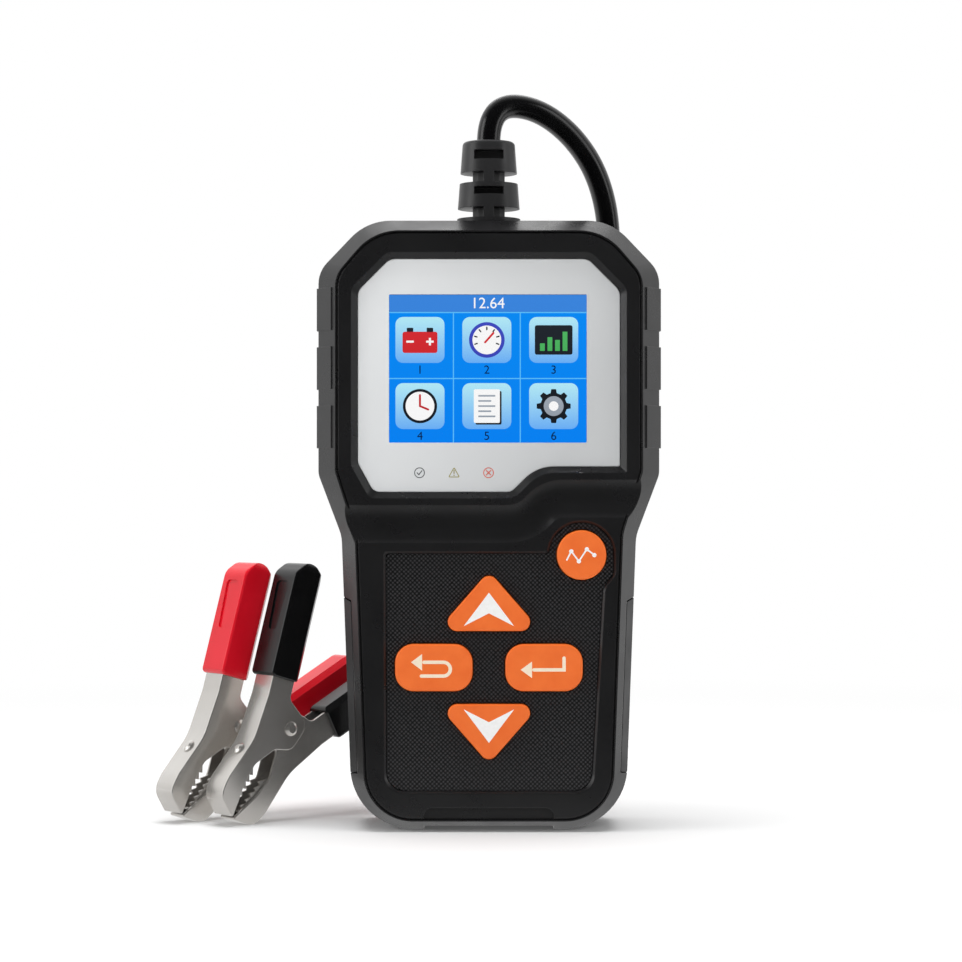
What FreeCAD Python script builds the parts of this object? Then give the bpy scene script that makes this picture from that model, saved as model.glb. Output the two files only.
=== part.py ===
import FreeCAD, Part
import math
import os
import re

import Sketcher

# Handheld battery tester with a two-wire clamp lead.
#
# Frame: +X right and -Y towards the reader of the screen, +Z up, millimetres.
# Origin: bottom centre of the tester's case, which stands upright on its feet.
# Depths along -Y are written as positive distances in front of the middle plane.

Vector = FreeCAD.Vector

SIZES = {
    # case outline, measured on the parting plane
    "case_height": 178.5,
    "half_width": 50.0,
    "foot_half": 40.0,
    "waist_half": 43.2,
    "waist_z": 86.0,
    "shoulder_z": 104.0,
    "slope_z": 163.5,
    "slope_x": 35.7,
    "foot_radius": 18.5,
    "waist_radius": 12.0,
    "shoulder_radius": 6.0,
    "slope_low_radius": 9.0,
    "slope_top_radius": 16.0,
    # case section
    "front_depth": 17.2,
    "front_ridge": 9.5,
    "rear_depth": 18.0,
    "rear_ridge": 10.5,
    "bevel_upper": 5.25,
    "bevel_lower": 4.2,
    "bevel_top": 3.6,
    "bevel_foot": 3.2,
    "wall_side": 3.9,
    "inner_front": 11.4,
    "inner_rear": 15.6,
    "rim_width": 0.55,
    "rim_inset": 0.35,
    "rim_depth": 0.9,
    "foot_rise": 1.4,
    "foot_gap_half": 19.0,
    "scoop_half": 18.9,
    "scoop_low": 3.6,
    "scoop_high": 7.1,
    "scoop_depth": 1.6,
    # display
    "lens_half": 38.2,
    "lens_top": 166.8,
    "lens_low": 98.9,
    "lens_step": 106.3,
    "lens_step_x": 6.6,
    "lens_chamfer": 9.3,
    "lens_corner_x": 4.6,
    "lens_corner_z": 8.4,
    "lens_radius": 4.0,
    "lens_swell": 3.0,
    "lens_sweep": 12.0,
    "recess_run": 1.9,
    "recess_depth": 1.9,
    "lens_thickness": 1.5,
    "seat_gap": 0.1,
    "screen_x": -0.3,
    "screen_z": 134.85,
    "screen_width": 57.6,
    "screen_height": 43.2,
    "window_margin": 1.8,
    "glass_margin": 1.0,
    "glass_back": 0.4,
    "module_margin": 5.2,
    "light_pitch": 10.05,
    "light_first_x": -20.2,
    "light_z": 104.5,
    "light_diameter": 3.0,
    # groove across the waist
    "groove_radius": 7.8,
    "groove_depth": 2.3,
    "groove_below": 9.3,
    # keypad
    "panel_drop": 1.0,
    "panel_thickness": 1.0,
    "panel_gap": 0.15,
    "panel_left": 30.0,
    "panel_right": 33.2,
    "panel_low": 11.9,
    "panel_low_half": 29.8,
    "panel_top": 81.0,
    "panel_radius": 5.5,
    "panel_lip": 0.7,
    "dial_x": 26.9,
    "dial_z": 80.6,
    "dial_radius": 7.2,
    "dial_border": 2.2,
    "key_top": 18.0,
    "key_gap": 0.3,
    "key_flange": 1.1,
    "key_flange_thickness": 1.0,
    "key_stem_radius": 2.0,
    "key_stem_length": 0.6,
    "key_travel": 1.0,
    "key_edge": 0.55,
    "arrow_half": 15.2,
    "arrow_rise": 17.4,
    "arrow_radius": 2.7,
    "arrow_base": 10.6,
    "row_z": 47.9,
    "pad_x": 16.0,
    "pad_width": 22.5,
    "pad_height": 13.7,
    "pad_radius": 5.4,
    # inside
    "board_front": 5.0,
    "board_thickness": 1.6,
    "board_upper_half": 33.0,
    "board_lower_half": 26.5,
    "board_low": 14.0,
    "board_step": 97.0,
    "board_top": 166.0,
    "switch_size": 6.0,
    "switch_height": 2.2,
    "plunger_radius": 1.6,
    "buzzer_radius": 6.0,
    "buzzer_height": 6.5,
    "buzzer_x": 14.0,
    "buzzer_z": 118.0,
    "boss_radius": 3.2,
    "screw_radius": 1.4,
    "screw_gap": 0.1,
    "screw_head_radius": 2.75,
    "screw_head_height": 2.0,
    "screw_sink": 4.0,
    "screw_length": 22.0,
    "screw_upper_x": 39.6,
    "screw_upper_z": 152.0,
    "screw_lower_x": 31.0,
    "screw_lower_z": 22.0,
    # grips
    "grip_depth": 2.6,
    "grip_low": 17.0,
    "grip_high": 67.0,
    "grip_slant": 3.4,
    "grip_front": 13.6,
    "grip_rear": 13.0,
    "grip_gap": 0.3,
    "ridge_height": 0.5,
    "ridge_length": 12.4,
    "ridge_pitch": 17.2,
    "ridge_first_z": 111.7,
    # strain relief
    "relief_height": 24.2,
    "relief_foot_radius": 9.4,
    "relief_top_radius": 7.7,
    "relief_core": 4.75,
    "relief_neck": 5.5,
    "relief_lock": 8.0,
    "relief_rib": 3.0,
    "relief_slot": 8.5,
    "relief_first_low": 1.3,
    "relief_first_high": 4.3,
    "relief_second_low": 8.1,
    "relief_second_high": 10.3,
    "relief_third_low": 11.7,
    "relief_third_high": 14.8,
    "relief_fourth_low": 18.5,
    "relief_fourth_high": 21.2,
    "relief_gap": 0.1,
    # cords
    "cable_diameter": 7.0,
    "lead_diameter": 3.4,
    "splitter_length": 13.0,
    "splitter_radius": 4.6,
    "splitter_end": 4.2,
    # clamps
    "clamp_yaw": 40.0,
    "clamp_pitch": 50.6,
    "clamp_wall": 0.8,
    "clamp_edge": 0.3,
    "lift_width": 9.0,
    "nest_gap": 0.1,
    "handle_tip_a": 37.0,
    "handle_tip_b": 27.5,
    "knuckle_a": 3.5,
    "knuckle_b": 13.1,
    "knee_a": -10.4,
    "knee_b": 8.8,
    "cheek_a": -24.7,
    "cheek_b": 9.1,
    "nose_a": -30.0,
    "nose_b": 8.1,
    "bite_a": -32.8,
    "bite_b": 0.35,
    "ear_half": 4.9,
    "ear_drop": 4.5,
    "flange_depth": 8.1,
    "rivet_radius": 1.5,
    "rivet_gap": 0.05,
    "rivet_head": 2.2,
    "rivet_dome": 0.9,
    "spring_wire": 0.9,
    "spring_radius": 2.4,
    "spring_pitch": 1.15,
    "spring_leg": 17.0,
    "sleeve_wall": 1.2,
    "sleeve_start": 5.4,
    "sleeve_end": 6.0,
    "sleeve_gap": 0.05,
    "sleeve_facet": 1.6,
    "sleeve_crown": 4.2,
    "dish_low": 14.0,
    "dish_reach": 15.0,
    "dish_low_half": 2.0,
    "dish_high_half": 3.2,
    "liner_wall": 0.7,
    "liner_gap": 0.05,
    "tooth_pitch": 2.3,
    "tooth_depth": 1.3,
    "stud_a": -14.0,
    "stud_radius": 0.95,
    "stud_head": 2.0,
    "stud_dome": 0.9,
}

# Where each clamp's pivot stands (x, y, z).
CLAMPS = {
    "black": Vector(-62.3, 11.5, 27.7),
    "red": Vector(-78.0, 18.0, 27.7),
}

# Routes of the cords, point by point, from the end that is held.
CABLE_ROUTE = [
    (0.0, 0.0, 202.7),
    (0.0, 0.0, 209.0),
    (5.2, 3.0, 214.6),
    (15.8, 8.0, 213.2),
    (26.2, 14.0, 205.8),
    (33.8, 20.0, 194.5),
    (37.4, 25.0, 178.5),
    (36.4, 28.4, 152.0),
    (30.0, 29.6, 118.0),
    (20.4, 29.6, 84.0),
    (10.0, 31.0, 52.0),
    (0.0, 37.0, 25.0),
    (-9.0, 50.0, 9.0),
    (-18.5, 70.0, 3.6),
    (-21.3, 93.8, 3.6),
    (-11.8, 110.2, 3.6),
    (6.0, 116.7, 3.6),
    (23.8, 110.2, 3.6),
    (33.3, 93.8, 3.8),
    (30.2, 76.2, 4.6),
]
BLACK_LEAD_ROUTE = [
    (30.0, 63.0, 5.0),
    (28.8, 53.0, 5.4),
    (25.8, 46.4, 12.0),
    (21.4, 46.2, 22.8),
    (15.8, 49.6, 33.0),
    (10.0, 53.4, 42.0),
    (4.2, 56.4, 49.4),
    (-2.8, 56.6, 53.2),
    (-12.7, 52.4, 52.8),
    (-20.8, 46.3, 47.8),
    (-26.3, 41.7, 44.1),
]
RED_LEAD_ROUTE = [
    (25.8, 63.8, 5.0),
    (24.2, 53.6, 5.2),
    (21.2, 47.4, 11.0),
    (17.4, 46.4, 20.2),
    (13.8, 50.6, 29.8),
    (9.2, 56.4, 38.4),
    (3.2, 61.8, 46.0),
    (-4.6, 65.2, 52.2),
    (-14.0, 64.6, 55.8),
    (-26.4, 60.0, 53.7),
    (-36.5, 52.8, 47.8),
    (-42.0, 48.2, 44.1),
]

document = FreeCAD.newDocument("battery_tester")
sheet = document.addObject("Spreadsheet::Sheet", "Sizes")
for row, (alias, number) in enumerate(SIZES.items(), start=1):
    sheet.set(f"A{row}", alias)
    sheet.set(f"B{row}", str(number))
    sheet.setAlias(f"B{row}", alias)
document.recompute()

WORD = re.compile(r"\b[a-z][a-z_]*\b")


def cells(expression):
    """The expression with each size's name pointing at its cell."""
    return WORD.sub(lambda m: f"Sizes.{m[0]}" if m[0] in SIZES else m[0], str(expression))


def value(expression):
    """The number that an expression of sizes has now."""
    result = sheet.evalExpression(cells(expression))
    return float(getattr(result, "Value", result))


def bind(thing, **properties):
    """Ties properties to expressions of sizes."""
    for name, expression in properties.items():
        thing.setExpression(name, cells(expression))
    return thing


def new_body(label):
    body = document.addObject("PartDesign::Body", label)
    body.Label = label
    return body


def new_sketch(body, name, plane="XZ_Plane", offset="0"):
    """A sketch on one of the body's own origin planes, moved along its normal."""
    sketch = body.newObject("Sketcher::SketchObject", name)
    support = next(f for f in body.Origin.OriginFeatures if f.Role == plane)
    sketch.AttachmentSupport = (support, [""])
    sketch.MapMode = "FlatFace"
    sketch.setExpression("AttachmentOffset.Base.z", cells(offset))
    return sketch


def pin(sketch, geometry, position, x, y):
    """Holds a point at two expressions measured from the sketch's origin."""
    for kind, expression, axis in (("DistanceX", x, -2), ("DistanceY", y, -1)):
        if abs(value(expression)) < 1e-9:
            sketch.addConstraint(Sketcher.Constraint("PointOnObject", geometry, position, axis))
            continue
        index = sketch.addConstraint(
            Sketcher.Constraint(kind, -1, 1, geometry, position, value(expression))
        )
        sketch.setExpression(f"Constraints[{index}]", cells(expression))


def add_circle(sketch, x, y, radius):
    circle = Part.Circle(Vector(value(x), value(y), 0), Vector(0, 0, 1), value(radius))
    geometry = sketch.addGeometry(circle, False)
    pin(sketch, geometry, 3, x, y)
    index = sketch.addConstraint(Sketcher.Constraint("Radius", geometry, value(radius)))
    sketch.setExpression(f"Constraints[{index}]", cells(radius))


def corner_arc(before, corner, after, radius):
    """Start, end and arc of a rounded corner, and whether it turns left."""
    back = (before - corner).normalize()
    ahead = (after - corner).normalize()
    half = back.getAngle(ahead) / 2
    reach = radius / math.tan(half)
    start = corner + back * reach
    end = corner + ahead * reach
    centre = corner + (back + ahead).normalize() * (radius / math.sin(half))
    left = back.cross(ahead).z < 0
    first, last = (start, end) if left else (end, start)
    angles = [math.atan2(p.y - centre.y, p.x - centre.x) for p in (first, last)]
    circle = Part.Circle(centre, Vector(0, 0, 1), radius)
    return start, end, Part.ArcOfCircle(circle, *angles), left


def add_loop(sketch, corners, closed=True):
    """A run of straight lines through (x, y, radius) corners, rounded by tangent arcs."""
    spots = [Vector(value(x), value(y), 0) for x, y, _ in corners]
    count = len(corners)
    inner = range(count) if closed else range(1, count - 1)
    starts = {i: spots[i] for i in range(count)}
    ends = dict(starts)
    arcs = {}
    for i in inner:
        radius = value(corners[i][2])
        if radius > 1e-6:
            made = corner_arc(spots[i - 1], spots[i], spots[(i + 1) % count], radius)
            starts[i], ends[i], arc, left = made
            arcs[i] = (sketch.addGeometry(arc, False), left)
    lines = {}
    for i in range(count if closed else count - 1):
        line = Part.LineSegment(ends[i], starts[(i + 1) % count])
        lines[i] = sketch.addGeometry(line, False)
    for i, (x, y, radius) in enumerate(corners):
        incoming = lines.get((i - 1) % count)
        outgoing = lines.get(i)
        if i in arcs:
            arc, left = arcs[i]
            first, last = (1, 2) if left else (2, 1)
            sketch.addConstraint(Sketcher.Constraint("Tangent", incoming, 2, arc, first))
            sketch.addConstraint(Sketcher.Constraint("Tangent", arc, last, outgoing, 1))
            index = sketch.addConstraint(Sketcher.Constraint("Radius", arc, value(radius)))
            sketch.setExpression(f"Constraints[{index}]", cells(radius))
            point = sketch.addGeometry(Part.Point(spots[i]), True)
            sketch.addConstraint(Sketcher.Constraint("PointOnObject", point, 1, incoming))
            sketch.addConstraint(Sketcher.Constraint("PointOnObject", point, 1, outgoing))
            pin(sketch, point, 1, x, y)
        elif outgoing is None:
            pin(sketch, incoming, 2, x, y)
        else:
            if incoming is not None:
                sketch.addConstraint(Sketcher.Constraint("Coincident", incoming, 2, outgoing, 1))
            pin(sketch, outgoing, 1, x, y)


def mirrored(corners):
    """Right-hand corners, then the same ones on the left in the order that closes the loop."""
    left = [(f"-({x})", z, radius) for x, z, radius in reversed(corners)]
    return corners + left


def box_corners(x, y, width, height, radius):
    sides = ((1, -1), (1, 1), (-1, 1), (-1, -1))
    return [(f"{x} + {i} * ({width}) / 2", f"{y} + {k} * ({height}) / 2", radius) for i, k in sides]


def pad(body, sketch, length, **options):
    feature = body.newObject("PartDesign::Pad", "Pad")
    feature.Profile = sketch
    bind(feature, Length=length)
    for name, option in options.items():
        setattr(feature, name, option)
    document.recompute()
    return feature


def pocket(body, sketch, length, **options):
    """A cut that has to take some of the body away."""
    before = body.Shape.Volume
    feature = body.newObject("PartDesign::Pocket", "Pocket")
    feature.Profile = sketch
    bind(feature, Length=length)
    for name, option in options.items():
        setattr(feature, name, option)
    document.recompute()
    if body.Shape.Volume > before - 1e-3:
        raise RuntimeError(f"a pocket of {body.Label} cuts nothing")
    return feature


def loft(body, kind, first, second):
    feature = body.newObject(f"PartDesign::{kind}Loft", "Loft")
    feature.Profile = first
    feature.Sections = [(second, [""])]
    feature.Ruled = True
    document.recompute()
    return feature


def soften(body, radius, wanted):
    """Rounds the edges of the body that the test picks."""
    base = body.Tip
    names = [f"Edge{i}" for i, edge in enumerate(base.Shape.Edges, start=1) if wanted(edge)]
    feature = body.newObject("PartDesign::Fillet", "Fillet")
    feature.Base = (base, names)
    bind(feature, Radius=radius)
    document.recompute()
    return feature


def flat_at(depth):
    """Picks edges that lie wholly at one distance in front of the middle plane."""
    place = -value(depth)
    return lambda edge: all(abs(v.Y - place) < 1e-4 for v in edge.Vertexes)


def join(kind, label, base, tools):
    """Part::Cut, Part::Common or Part::MultiFuse of document objects."""
    feature = document.addObject(f"Part::{kind}", label)
    if kind == "MultiFuse":
        feature.Shapes = [base, *tools]
    else:
        feature.Base = base
        several = len(tools) > 1
        feature.Tool = join("MultiFuse", f"{label}_tools", tools[0], tools[1:]) if several else tools[0]
    feature.Label = label
    document.recompute()
    return feature


def block(name, x, y, z, length, width, height):
    """A box whose low corner and sides are expressions of sizes."""
    box = document.addObject("Part::Box", name)
    bind(box, Length=length, Width=width, Height=height)
    for axis, expression in (("x", x), ("y", y), ("z", z)):
        box.setExpression(f"Placement.Base.{axis}", cells(expression))
    return box


def rod(name, x, y, z, radius, height, along):
    """A cylinder from a point along a fixed direction."""
    cylinder = document.addObject("Part::Cylinder", name)
    bind(cylinder, Radius=radius, Height=height)
    cylinder.Placement.Rotation = FreeCAD.Rotation(Vector(0, 0, 1), along)
    for axis, expression in (("x", x), ("y", y), ("z", z)):
        cylinder.setExpression(f"Placement.Base.{axis}", cells(expression))
    return cylinder


FORWARD = Vector(0, -1, 0)
BACKWARD = Vector(0, 1, 0)
UPWARD = Vector(0, 0, 1)


def case_outline(upper="0", lower="0", top="0", foot="0"):
    """The case seen from the front, drawn in by these amounts."""
    lean = "(waist_half - foot_half) / waist_z"
    return mirrored([
        (f"foot_half - ({lower}) + ({foot}) * {lean}", foot, f"foot_radius - ({lower})"),
        (f"waist_half - ({lower})", f"waist_z + 0.18 * ({upper})", "waist_radius"),
        (f"half_width - ({upper})", f"shoulder_z + 0.18 * ({upper})", "shoulder_radius"),
        (f"half_width - ({upper})", f"slope_z - 0.32 * ({upper})", "slope_low_radius"),
        (f"slope_x - 0.62 * ({top})", f"case_height - ({top})", "slope_top_radius"),
    ])


def case_sketch(body, name, offset, *insets):
    sketch = new_sketch(body, name, offset=offset)
    add_loop(sketch, case_outline(*insets))
    return sketch


FRONT_INSETS = ("bevel_upper", "bevel_lower", "bevel_top", "bevel_foot")
CAVITY_INSETS = ("wall_side", "wall_side", "wall_side", "wall_side")


def inset_by(insets, more):
    return tuple(f"{inset} + ({more})" for inset in insets)


def lens_outline(grow="0"):
    """The lens with its stepped lower edge, grown evenly by an amount."""
    near = f"0.414 * ({grow})"
    return [
        (f"-lens_half - ({grow}) + lens_corner_x + {near}", f"lens_low - ({grow})", "lens_swell"),
        (f"lens_step_x + {near}", f"lens_low - ({grow})", f"lens_swell + ({grow})"),
        (f"lens_step_x + lens_step - lens_low + {near}", f"lens_step - ({grow})", f"lens_sweep - ({grow})"),
        (f"lens_half + ({grow})", f"lens_step - ({grow})", "0.6"),
        (f"lens_half + ({grow})", f"lens_top - lens_chamfer + {near}", "lens_radius"),
        (f"lens_half - lens_chamfer + {near}", f"lens_top + ({grow})", "lens_radius"),
        (f"-lens_half + lens_chamfer - {near}", f"lens_top + ({grow})", "lens_radius"),
        (f"-lens_half - ({grow})", f"lens_top - lens_chamfer + {near}", "lens_radius"),
        (f"-lens_half - ({grow})", f"lens_low + lens_corner_z - {near}", "lens_radius"),
    ]


def panel_outline(grow="0"):
    """The keypad inlay, which swells round the round key."""
    ring = f"(dial_radius + dial_border + ({grow}))"
    return [
        (f"-panel_low_half - ({grow})", f"panel_low - ({grow})", "panel_radius"),
        (f"panel_low_half + ({grow})", f"panel_low - ({grow})", "panel_radius"),
        (f"panel_right + ({grow})", "dial_z - dial_radius - 2.4", "4"),
        (f"dial_x + {ring}", "dial_z - dial_radius + 1.6", "3"),
        (f"dial_x + {ring}", f"dial_z + {ring}", f"{ring} - 0.2"),
        (f"dial_x - {ring}", f"dial_z + {ring}", f"{ring} - 0.2"),
        (f"dial_x - {ring}", f"panel_top + ({grow})", "1.2"),
        (f"-panel_left - ({grow})", f"panel_top + ({grow})", "0.8"),
    ]


def arrow_corners(up, grow):
    """A triangular key above or below the middle row."""
    sign = "1" if up else "-1"
    base = f"row_z + {sign} * (arrow_base - ({grow}))"
    apex = f"row_z + {sign} * (arrow_base + arrow_rise + 1.53 * ({grow}))"
    half = f"(arrow_half + 2.1 * ({grow}))"
    radius = f"arrow_radius + ({grow})"
    return [(f"-{half}", base, radius), (half, base, radius), ("0", apex, radius)]


def pad_corners(side, grow):
    wide = f"pad_width + 2 * ({grow})"
    high = f"pad_height + 2 * ({grow})"
    return box_corners(f"{side} * pad_x", "row_z", wide, high, f"pad_radius + ({grow})")


KEYS = {
    "up_key": lambda s, g: add_loop(s, arrow_corners(True, g)),
    "down_key": lambda s, g: add_loop(s, arrow_corners(False, g)),
    "escape_key": lambda s, g: add_loop(s, pad_corners(-1, g)),
    "enter_key": lambda s, g: add_loop(s, pad_corners(1, g)),
    "waveform_key": lambda s, g: add_circle(s, "dial_x", "dial_z", f"dial_radius + ({g})"),
}
KEY_CENTRES = {
    "up_key": ("0", "row_z + arrow_base + 5.6"),
    "down_key": ("0", "row_z - arrow_base - 5.6"),
    "escape_key": ("-pad_x", "row_z"),
    "enter_key": ("pad_x", "row_z"),
    "waveform_key": ("dial_x", "dial_z"),
}
SCREWS = {
    "case_screw_upper_left": ("-screw_upper_x", "screw_upper_z"),
    "case_screw_upper_right": ("screw_upper_x", "screw_upper_z"),
    "case_screw_lower_left": ("-screw_lower_x", "screw_lower_z"),
    "case_screw_lower_right": ("screw_lower_x", "screw_lower_z"),
}
nodes = {}


def keep(thing, label):
    thing.Label = label
    nodes[label] = thing
    return thing


def outer_form(label, grow):
    """The whole case without hollows, grown by an amount."""
    body = new_body(label)
    full = (f"-({grow})",) * 4
    bevel = tuple(f"{inset} - ({grow})" for inset in FRONT_INSETS)
    middle = case_sketch(body, "Middle", "front_ridge", *full)
    pad(body, middle, "front_ridge + rear_ridge", Reversed=True)
    front = case_sketch(body, "Front", "front_depth", *bevel)
    loft(body, "Additive", case_sketch(body, "FrontRidge", "front_ridge", *full), front)
    rear = case_sketch(body, "Rear", "-rear_depth", *bevel)
    loft(body, "Additive", case_sketch(body, "RearRidge", "-rear_ridge", *full), rear)
    return body


def grip_region(name, side, shrink):
    """The prism on one side of the case that a side grip fills."""
    body = new_body(name)
    sketch = new_sketch(body, "Region", offset=f"grip_front - ({shrink})")
    low = f"grip_low + ({shrink})"
    high = f"grip_high - ({shrink})"
    lean = "(waist_half - foot_half) / waist_z"
    inner_low = f"{side} * (foot_half + {lean} * grip_low - grip_depth + ({shrink}))"
    inner_high = f"{side} * (foot_half + {lean} * grip_high - grip_depth + ({shrink}))"
    outer = f"{side} * (half_width + 2)"
    corners = [
        (inner_low, low, "0.6"),
        (outer, f"{low} - grip_slant", "0"),
        (outer, f"{high} + grip_slant * 1.6", "0"),
        (inner_high, high, "0.6"),
    ]
    add_loop(sketch, corners if side > 0 else corners[::-1])
    pad(body, sketch, f"grip_front + grip_rear - 2 * ({shrink})", Reversed=True)
    return body


def case_tools():
    """Cutters that both halves of the case share."""
    neck = rod("NeckHole", "0", "0", "case_height - 12", "relief_neck + relief_gap", "24", UPWARD)
    lock = rod("LockHole", "0", "0", "case_height - 12", "relief_lock + 0.4", "12 - wall_side + 0.05", UPWARD)
    foot = block(
        "FootGap", "-foot_gap_half", "-front_depth - 2", "-1",
        "2 * foot_gap_half", "front_depth + rear_depth + 4", "1 + foot_rise",
    )
    regions = [grip_region(f"GripRegion{i}", side, "0") for i, side in enumerate((-1, 1))]
    return [neck, lock, foot, *regions]


def bosses(body, plane_offset, length, reverse):
    sketch = new_sketch(body, "Bosses", offset=plane_offset)
    for x, z in SCREWS.values():
        add_circle(sketch, x, z, "boss_radius")
    pad(body, sketch, length, Reversed=reverse)


def front_housing(tools, ridges):
    body = new_body("FrontShell")
    middle = case_sketch(body, "Middle", "0")
    pad(body, middle, "front_ridge")
    edge = case_sketch(body, "FrontEdge", "front_depth", *FRONT_INSETS)
    loft(body, "Additive", case_sketch(body, "Ridge", "front_ridge"), edge)
    rim = new_sketch(body, "RimGroove", offset="front_depth")
    add_loop(rim, case_outline(*inset_by(FRONT_INSETS, "rim_inset")))
    add_loop(rim, case_outline(*inset_by(FRONT_INSETS, "rim_inset + rim_width")))
    pocket(body, rim, "rim_depth")
    opening = new_sketch(body, "RecessMouth", offset="front_depth")
    add_loop(opening, lens_outline("recess_run"))
    floor = new_sketch(body, "RecessFloor", offset="front_depth - recess_depth")
    add_loop(floor, lens_outline("seat_gap"))
    loft(body, "Subtractive", opening, floor)
    seat = new_sketch(body, "LensSeat", offset="front_depth - recess_depth")
    add_loop(seat, lens_outline("seat_gap"))
    pocket(body, seat, "lens_thickness")
    path = new_sketch(body, "WaistPath", offset="front_depth + groove_radius - groove_depth")
    start = "lens_step_x + 0.414 * groove_below"
    add_loop(path, [
        ("-half_width - 12", "lens_low - groove_below", "0"),
        (start, "lens_low - groove_below", "groove_below + lens_swell"),
        (f"{start} + lens_step - lens_low", "lens_step - groove_below", "groove_radius + 1.2"),
        ("half_width + 12", "lens_step - groove_below", "0"),
    ], closed=False)
    ring = new_sketch(body, "WaistSection", plane="YZ_Plane", offset="-half_width - 12")
    centre = "-(front_depth + groove_radius - groove_depth)"
    add_circle(ring, centre, "lens_low - groove_below", "groove_radius")
    groove = body.newObject("PartDesign::SubtractivePipe", "WaistGroove")
    groove.Profile = ring
    groove.Spine = (path, [""])
    document.recompute()
    well = new_sketch(body, "KeypadWell", offset="front_depth")
    add_loop(well, panel_outline())
    pocket(body, well, "panel_drop + panel_thickness")
    mouth = new_sketch(body, "WellMouth", offset="front_depth")
    add_loop(mouth, panel_outline("panel_lip"))
    throat = new_sketch(body, "WellThroat", offset="front_depth - panel_lip")
    add_loop(throat, panel_outline())
    loft(body, "Subtractive", mouth, throat)
    scoop = new_sketch(body, "Scoop", offset="front_depth")
    add_loop(scoop, [
        ("-scoop_half", "scoop_low", "0.4"),
        ("scoop_half", "scoop_low", "0.4"),
        ("scoop_half", "scoop_high", "2.4"),
        ("-scoop_half", "scoop_high", "2.4"),
    ])
    pocket(body, scoop, "scoop_depth")
    cavity = case_sketch(body, "Cavity", "0", *CAVITY_INSETS)
    pocket(body, cavity, "inner_front", Reversed=True)
    windows = new_sketch(body, "Openings", offset="front_depth")
    add_loop(windows, box_corners(
        "screen_x", "screen_z", "screen_width + 2 * window_margin",
        "screen_height + 2 * window_margin", "1",
    ))
    for i in range(3):
        add_circle(windows, f"light_first_x + {i} * light_pitch", "light_z", "light_diameter / 2 + 0.2")
    for draw in KEYS.values():
        draw(windows, "key_gap")
    pocket(body, windows, "front_depth - inner_front + 1")
    bosses(body, "0", "inner_front + 0.5", False)
    holes = new_sketch(body, "ScrewHoles", offset="0")
    for x, z in SCREWS.values():
        add_circle(holes, x, z, "screw_radius + screw_gap")
    pocket(body, holes, "screw_length + screw_sink - rear_depth + 2", Reversed=True)
    shell = join("Cut", "FrontShellCut", body, tools)
    return keep(join("MultiFuse", "front_housing", shell, ridges), "front_housing")


def rear_housing(tools):
    body = new_body("RearShell")
    middle = case_sketch(body, "Middle", "0")
    pad(body, middle, "rear_ridge", Reversed=True)
    edge = case_sketch(body, "RearEdge", "-rear_depth", *FRONT_INSETS)
    loft(body, "Additive", case_sketch(body, "Ridge", "-rear_ridge"), edge)
    cavity = case_sketch(body, "Cavity", "0", *CAVITY_INSETS)
    pocket(body, cavity, "inner_rear")
    bosses(body, "0", "inner_rear + 0.5", True)
    holes = new_sketch(body, "ScrewHoles", offset="0")
    sinks = new_sketch(body, "ScrewSinks", offset="-rear_depth")
    for x, z in SCREWS.values():
        add_circle(holes, x, z, "screw_radius + screw_gap")
        add_circle(sinks, x, z, "screw_head_radius + 0.25")
    pocket(body, holes, "rear_depth + 1")
    pocket(body, sinks, "screw_sink", Reversed=True)
    return keep(join("Cut", "rear_housing", body, tools), "rear_housing")


def grip_ridges():
    """The raised bars on the bevel beside the screen."""
    form = outer_form("RaisedForm", "ridge_height")
    bars = []
    for side in (-1, 1):
        for i in range(3):
            reach = "half_width + 2"
            left = "half_width - bevel_upper + 0.7" if side > 0 else f"-({reach})"
            bars.append(block(
                f"RidgeBar{side}{i}", left, "-front_depth + 1.1",
                f"ridge_first_z + {i} * ridge_pitch",
                "bevel_upper + 1.3", "front_depth - 6", "ridge_length",
            ))
    return [join("Common", "GripRidges", form, bars)]


def display():
    lens = keep(new_body("display_lens"), "display_lens")
    sketch = new_sketch(lens, "Outline", offset="front_depth - recess_depth")
    add_loop(sketch, lens_outline())
    pad(lens, sketch, "lens_thickness", Reversed=True)
    soften(lens, "0.35", flat_at("front_depth - recess_depth"))
    module = keep(new_body("lcd_module"), "lcd_module")
    back = "front_depth - recess_depth - lens_thickness - glass_back"
    frame = new_sketch(module, "Frame", offset="board_front")
    add_loop(frame, box_corners(
        "screen_x", "screen_z", "screen_width + 2 * module_margin",
        "screen_height + 2 * module_margin - 4", "1.5",
    ))
    pad(module, frame, "inner_front - 0.1 - board_front")
    glass = new_sketch(module, "Glass", offset="inner_front - 0.1")
    add_loop(glass, box_corners(
        "screen_x", "screen_z", "screen_width + 2 * glass_margin",
        "screen_height + 2 * glass_margin", "0.4",
    ))
    pad(module, glass, f"{back} - inner_front + 0.1")
    for i in range(3):
        name = f"indicator_light_{i + 1}"
        x = f"light_first_x + {i} * light_pitch"
        length = "front_depth - recess_depth - lens_thickness - 0.1 - board_front"
        keep(rod(name, x, "-board_front", "light_z", "light_diameter / 2", length, FORWARD), name)


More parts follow.
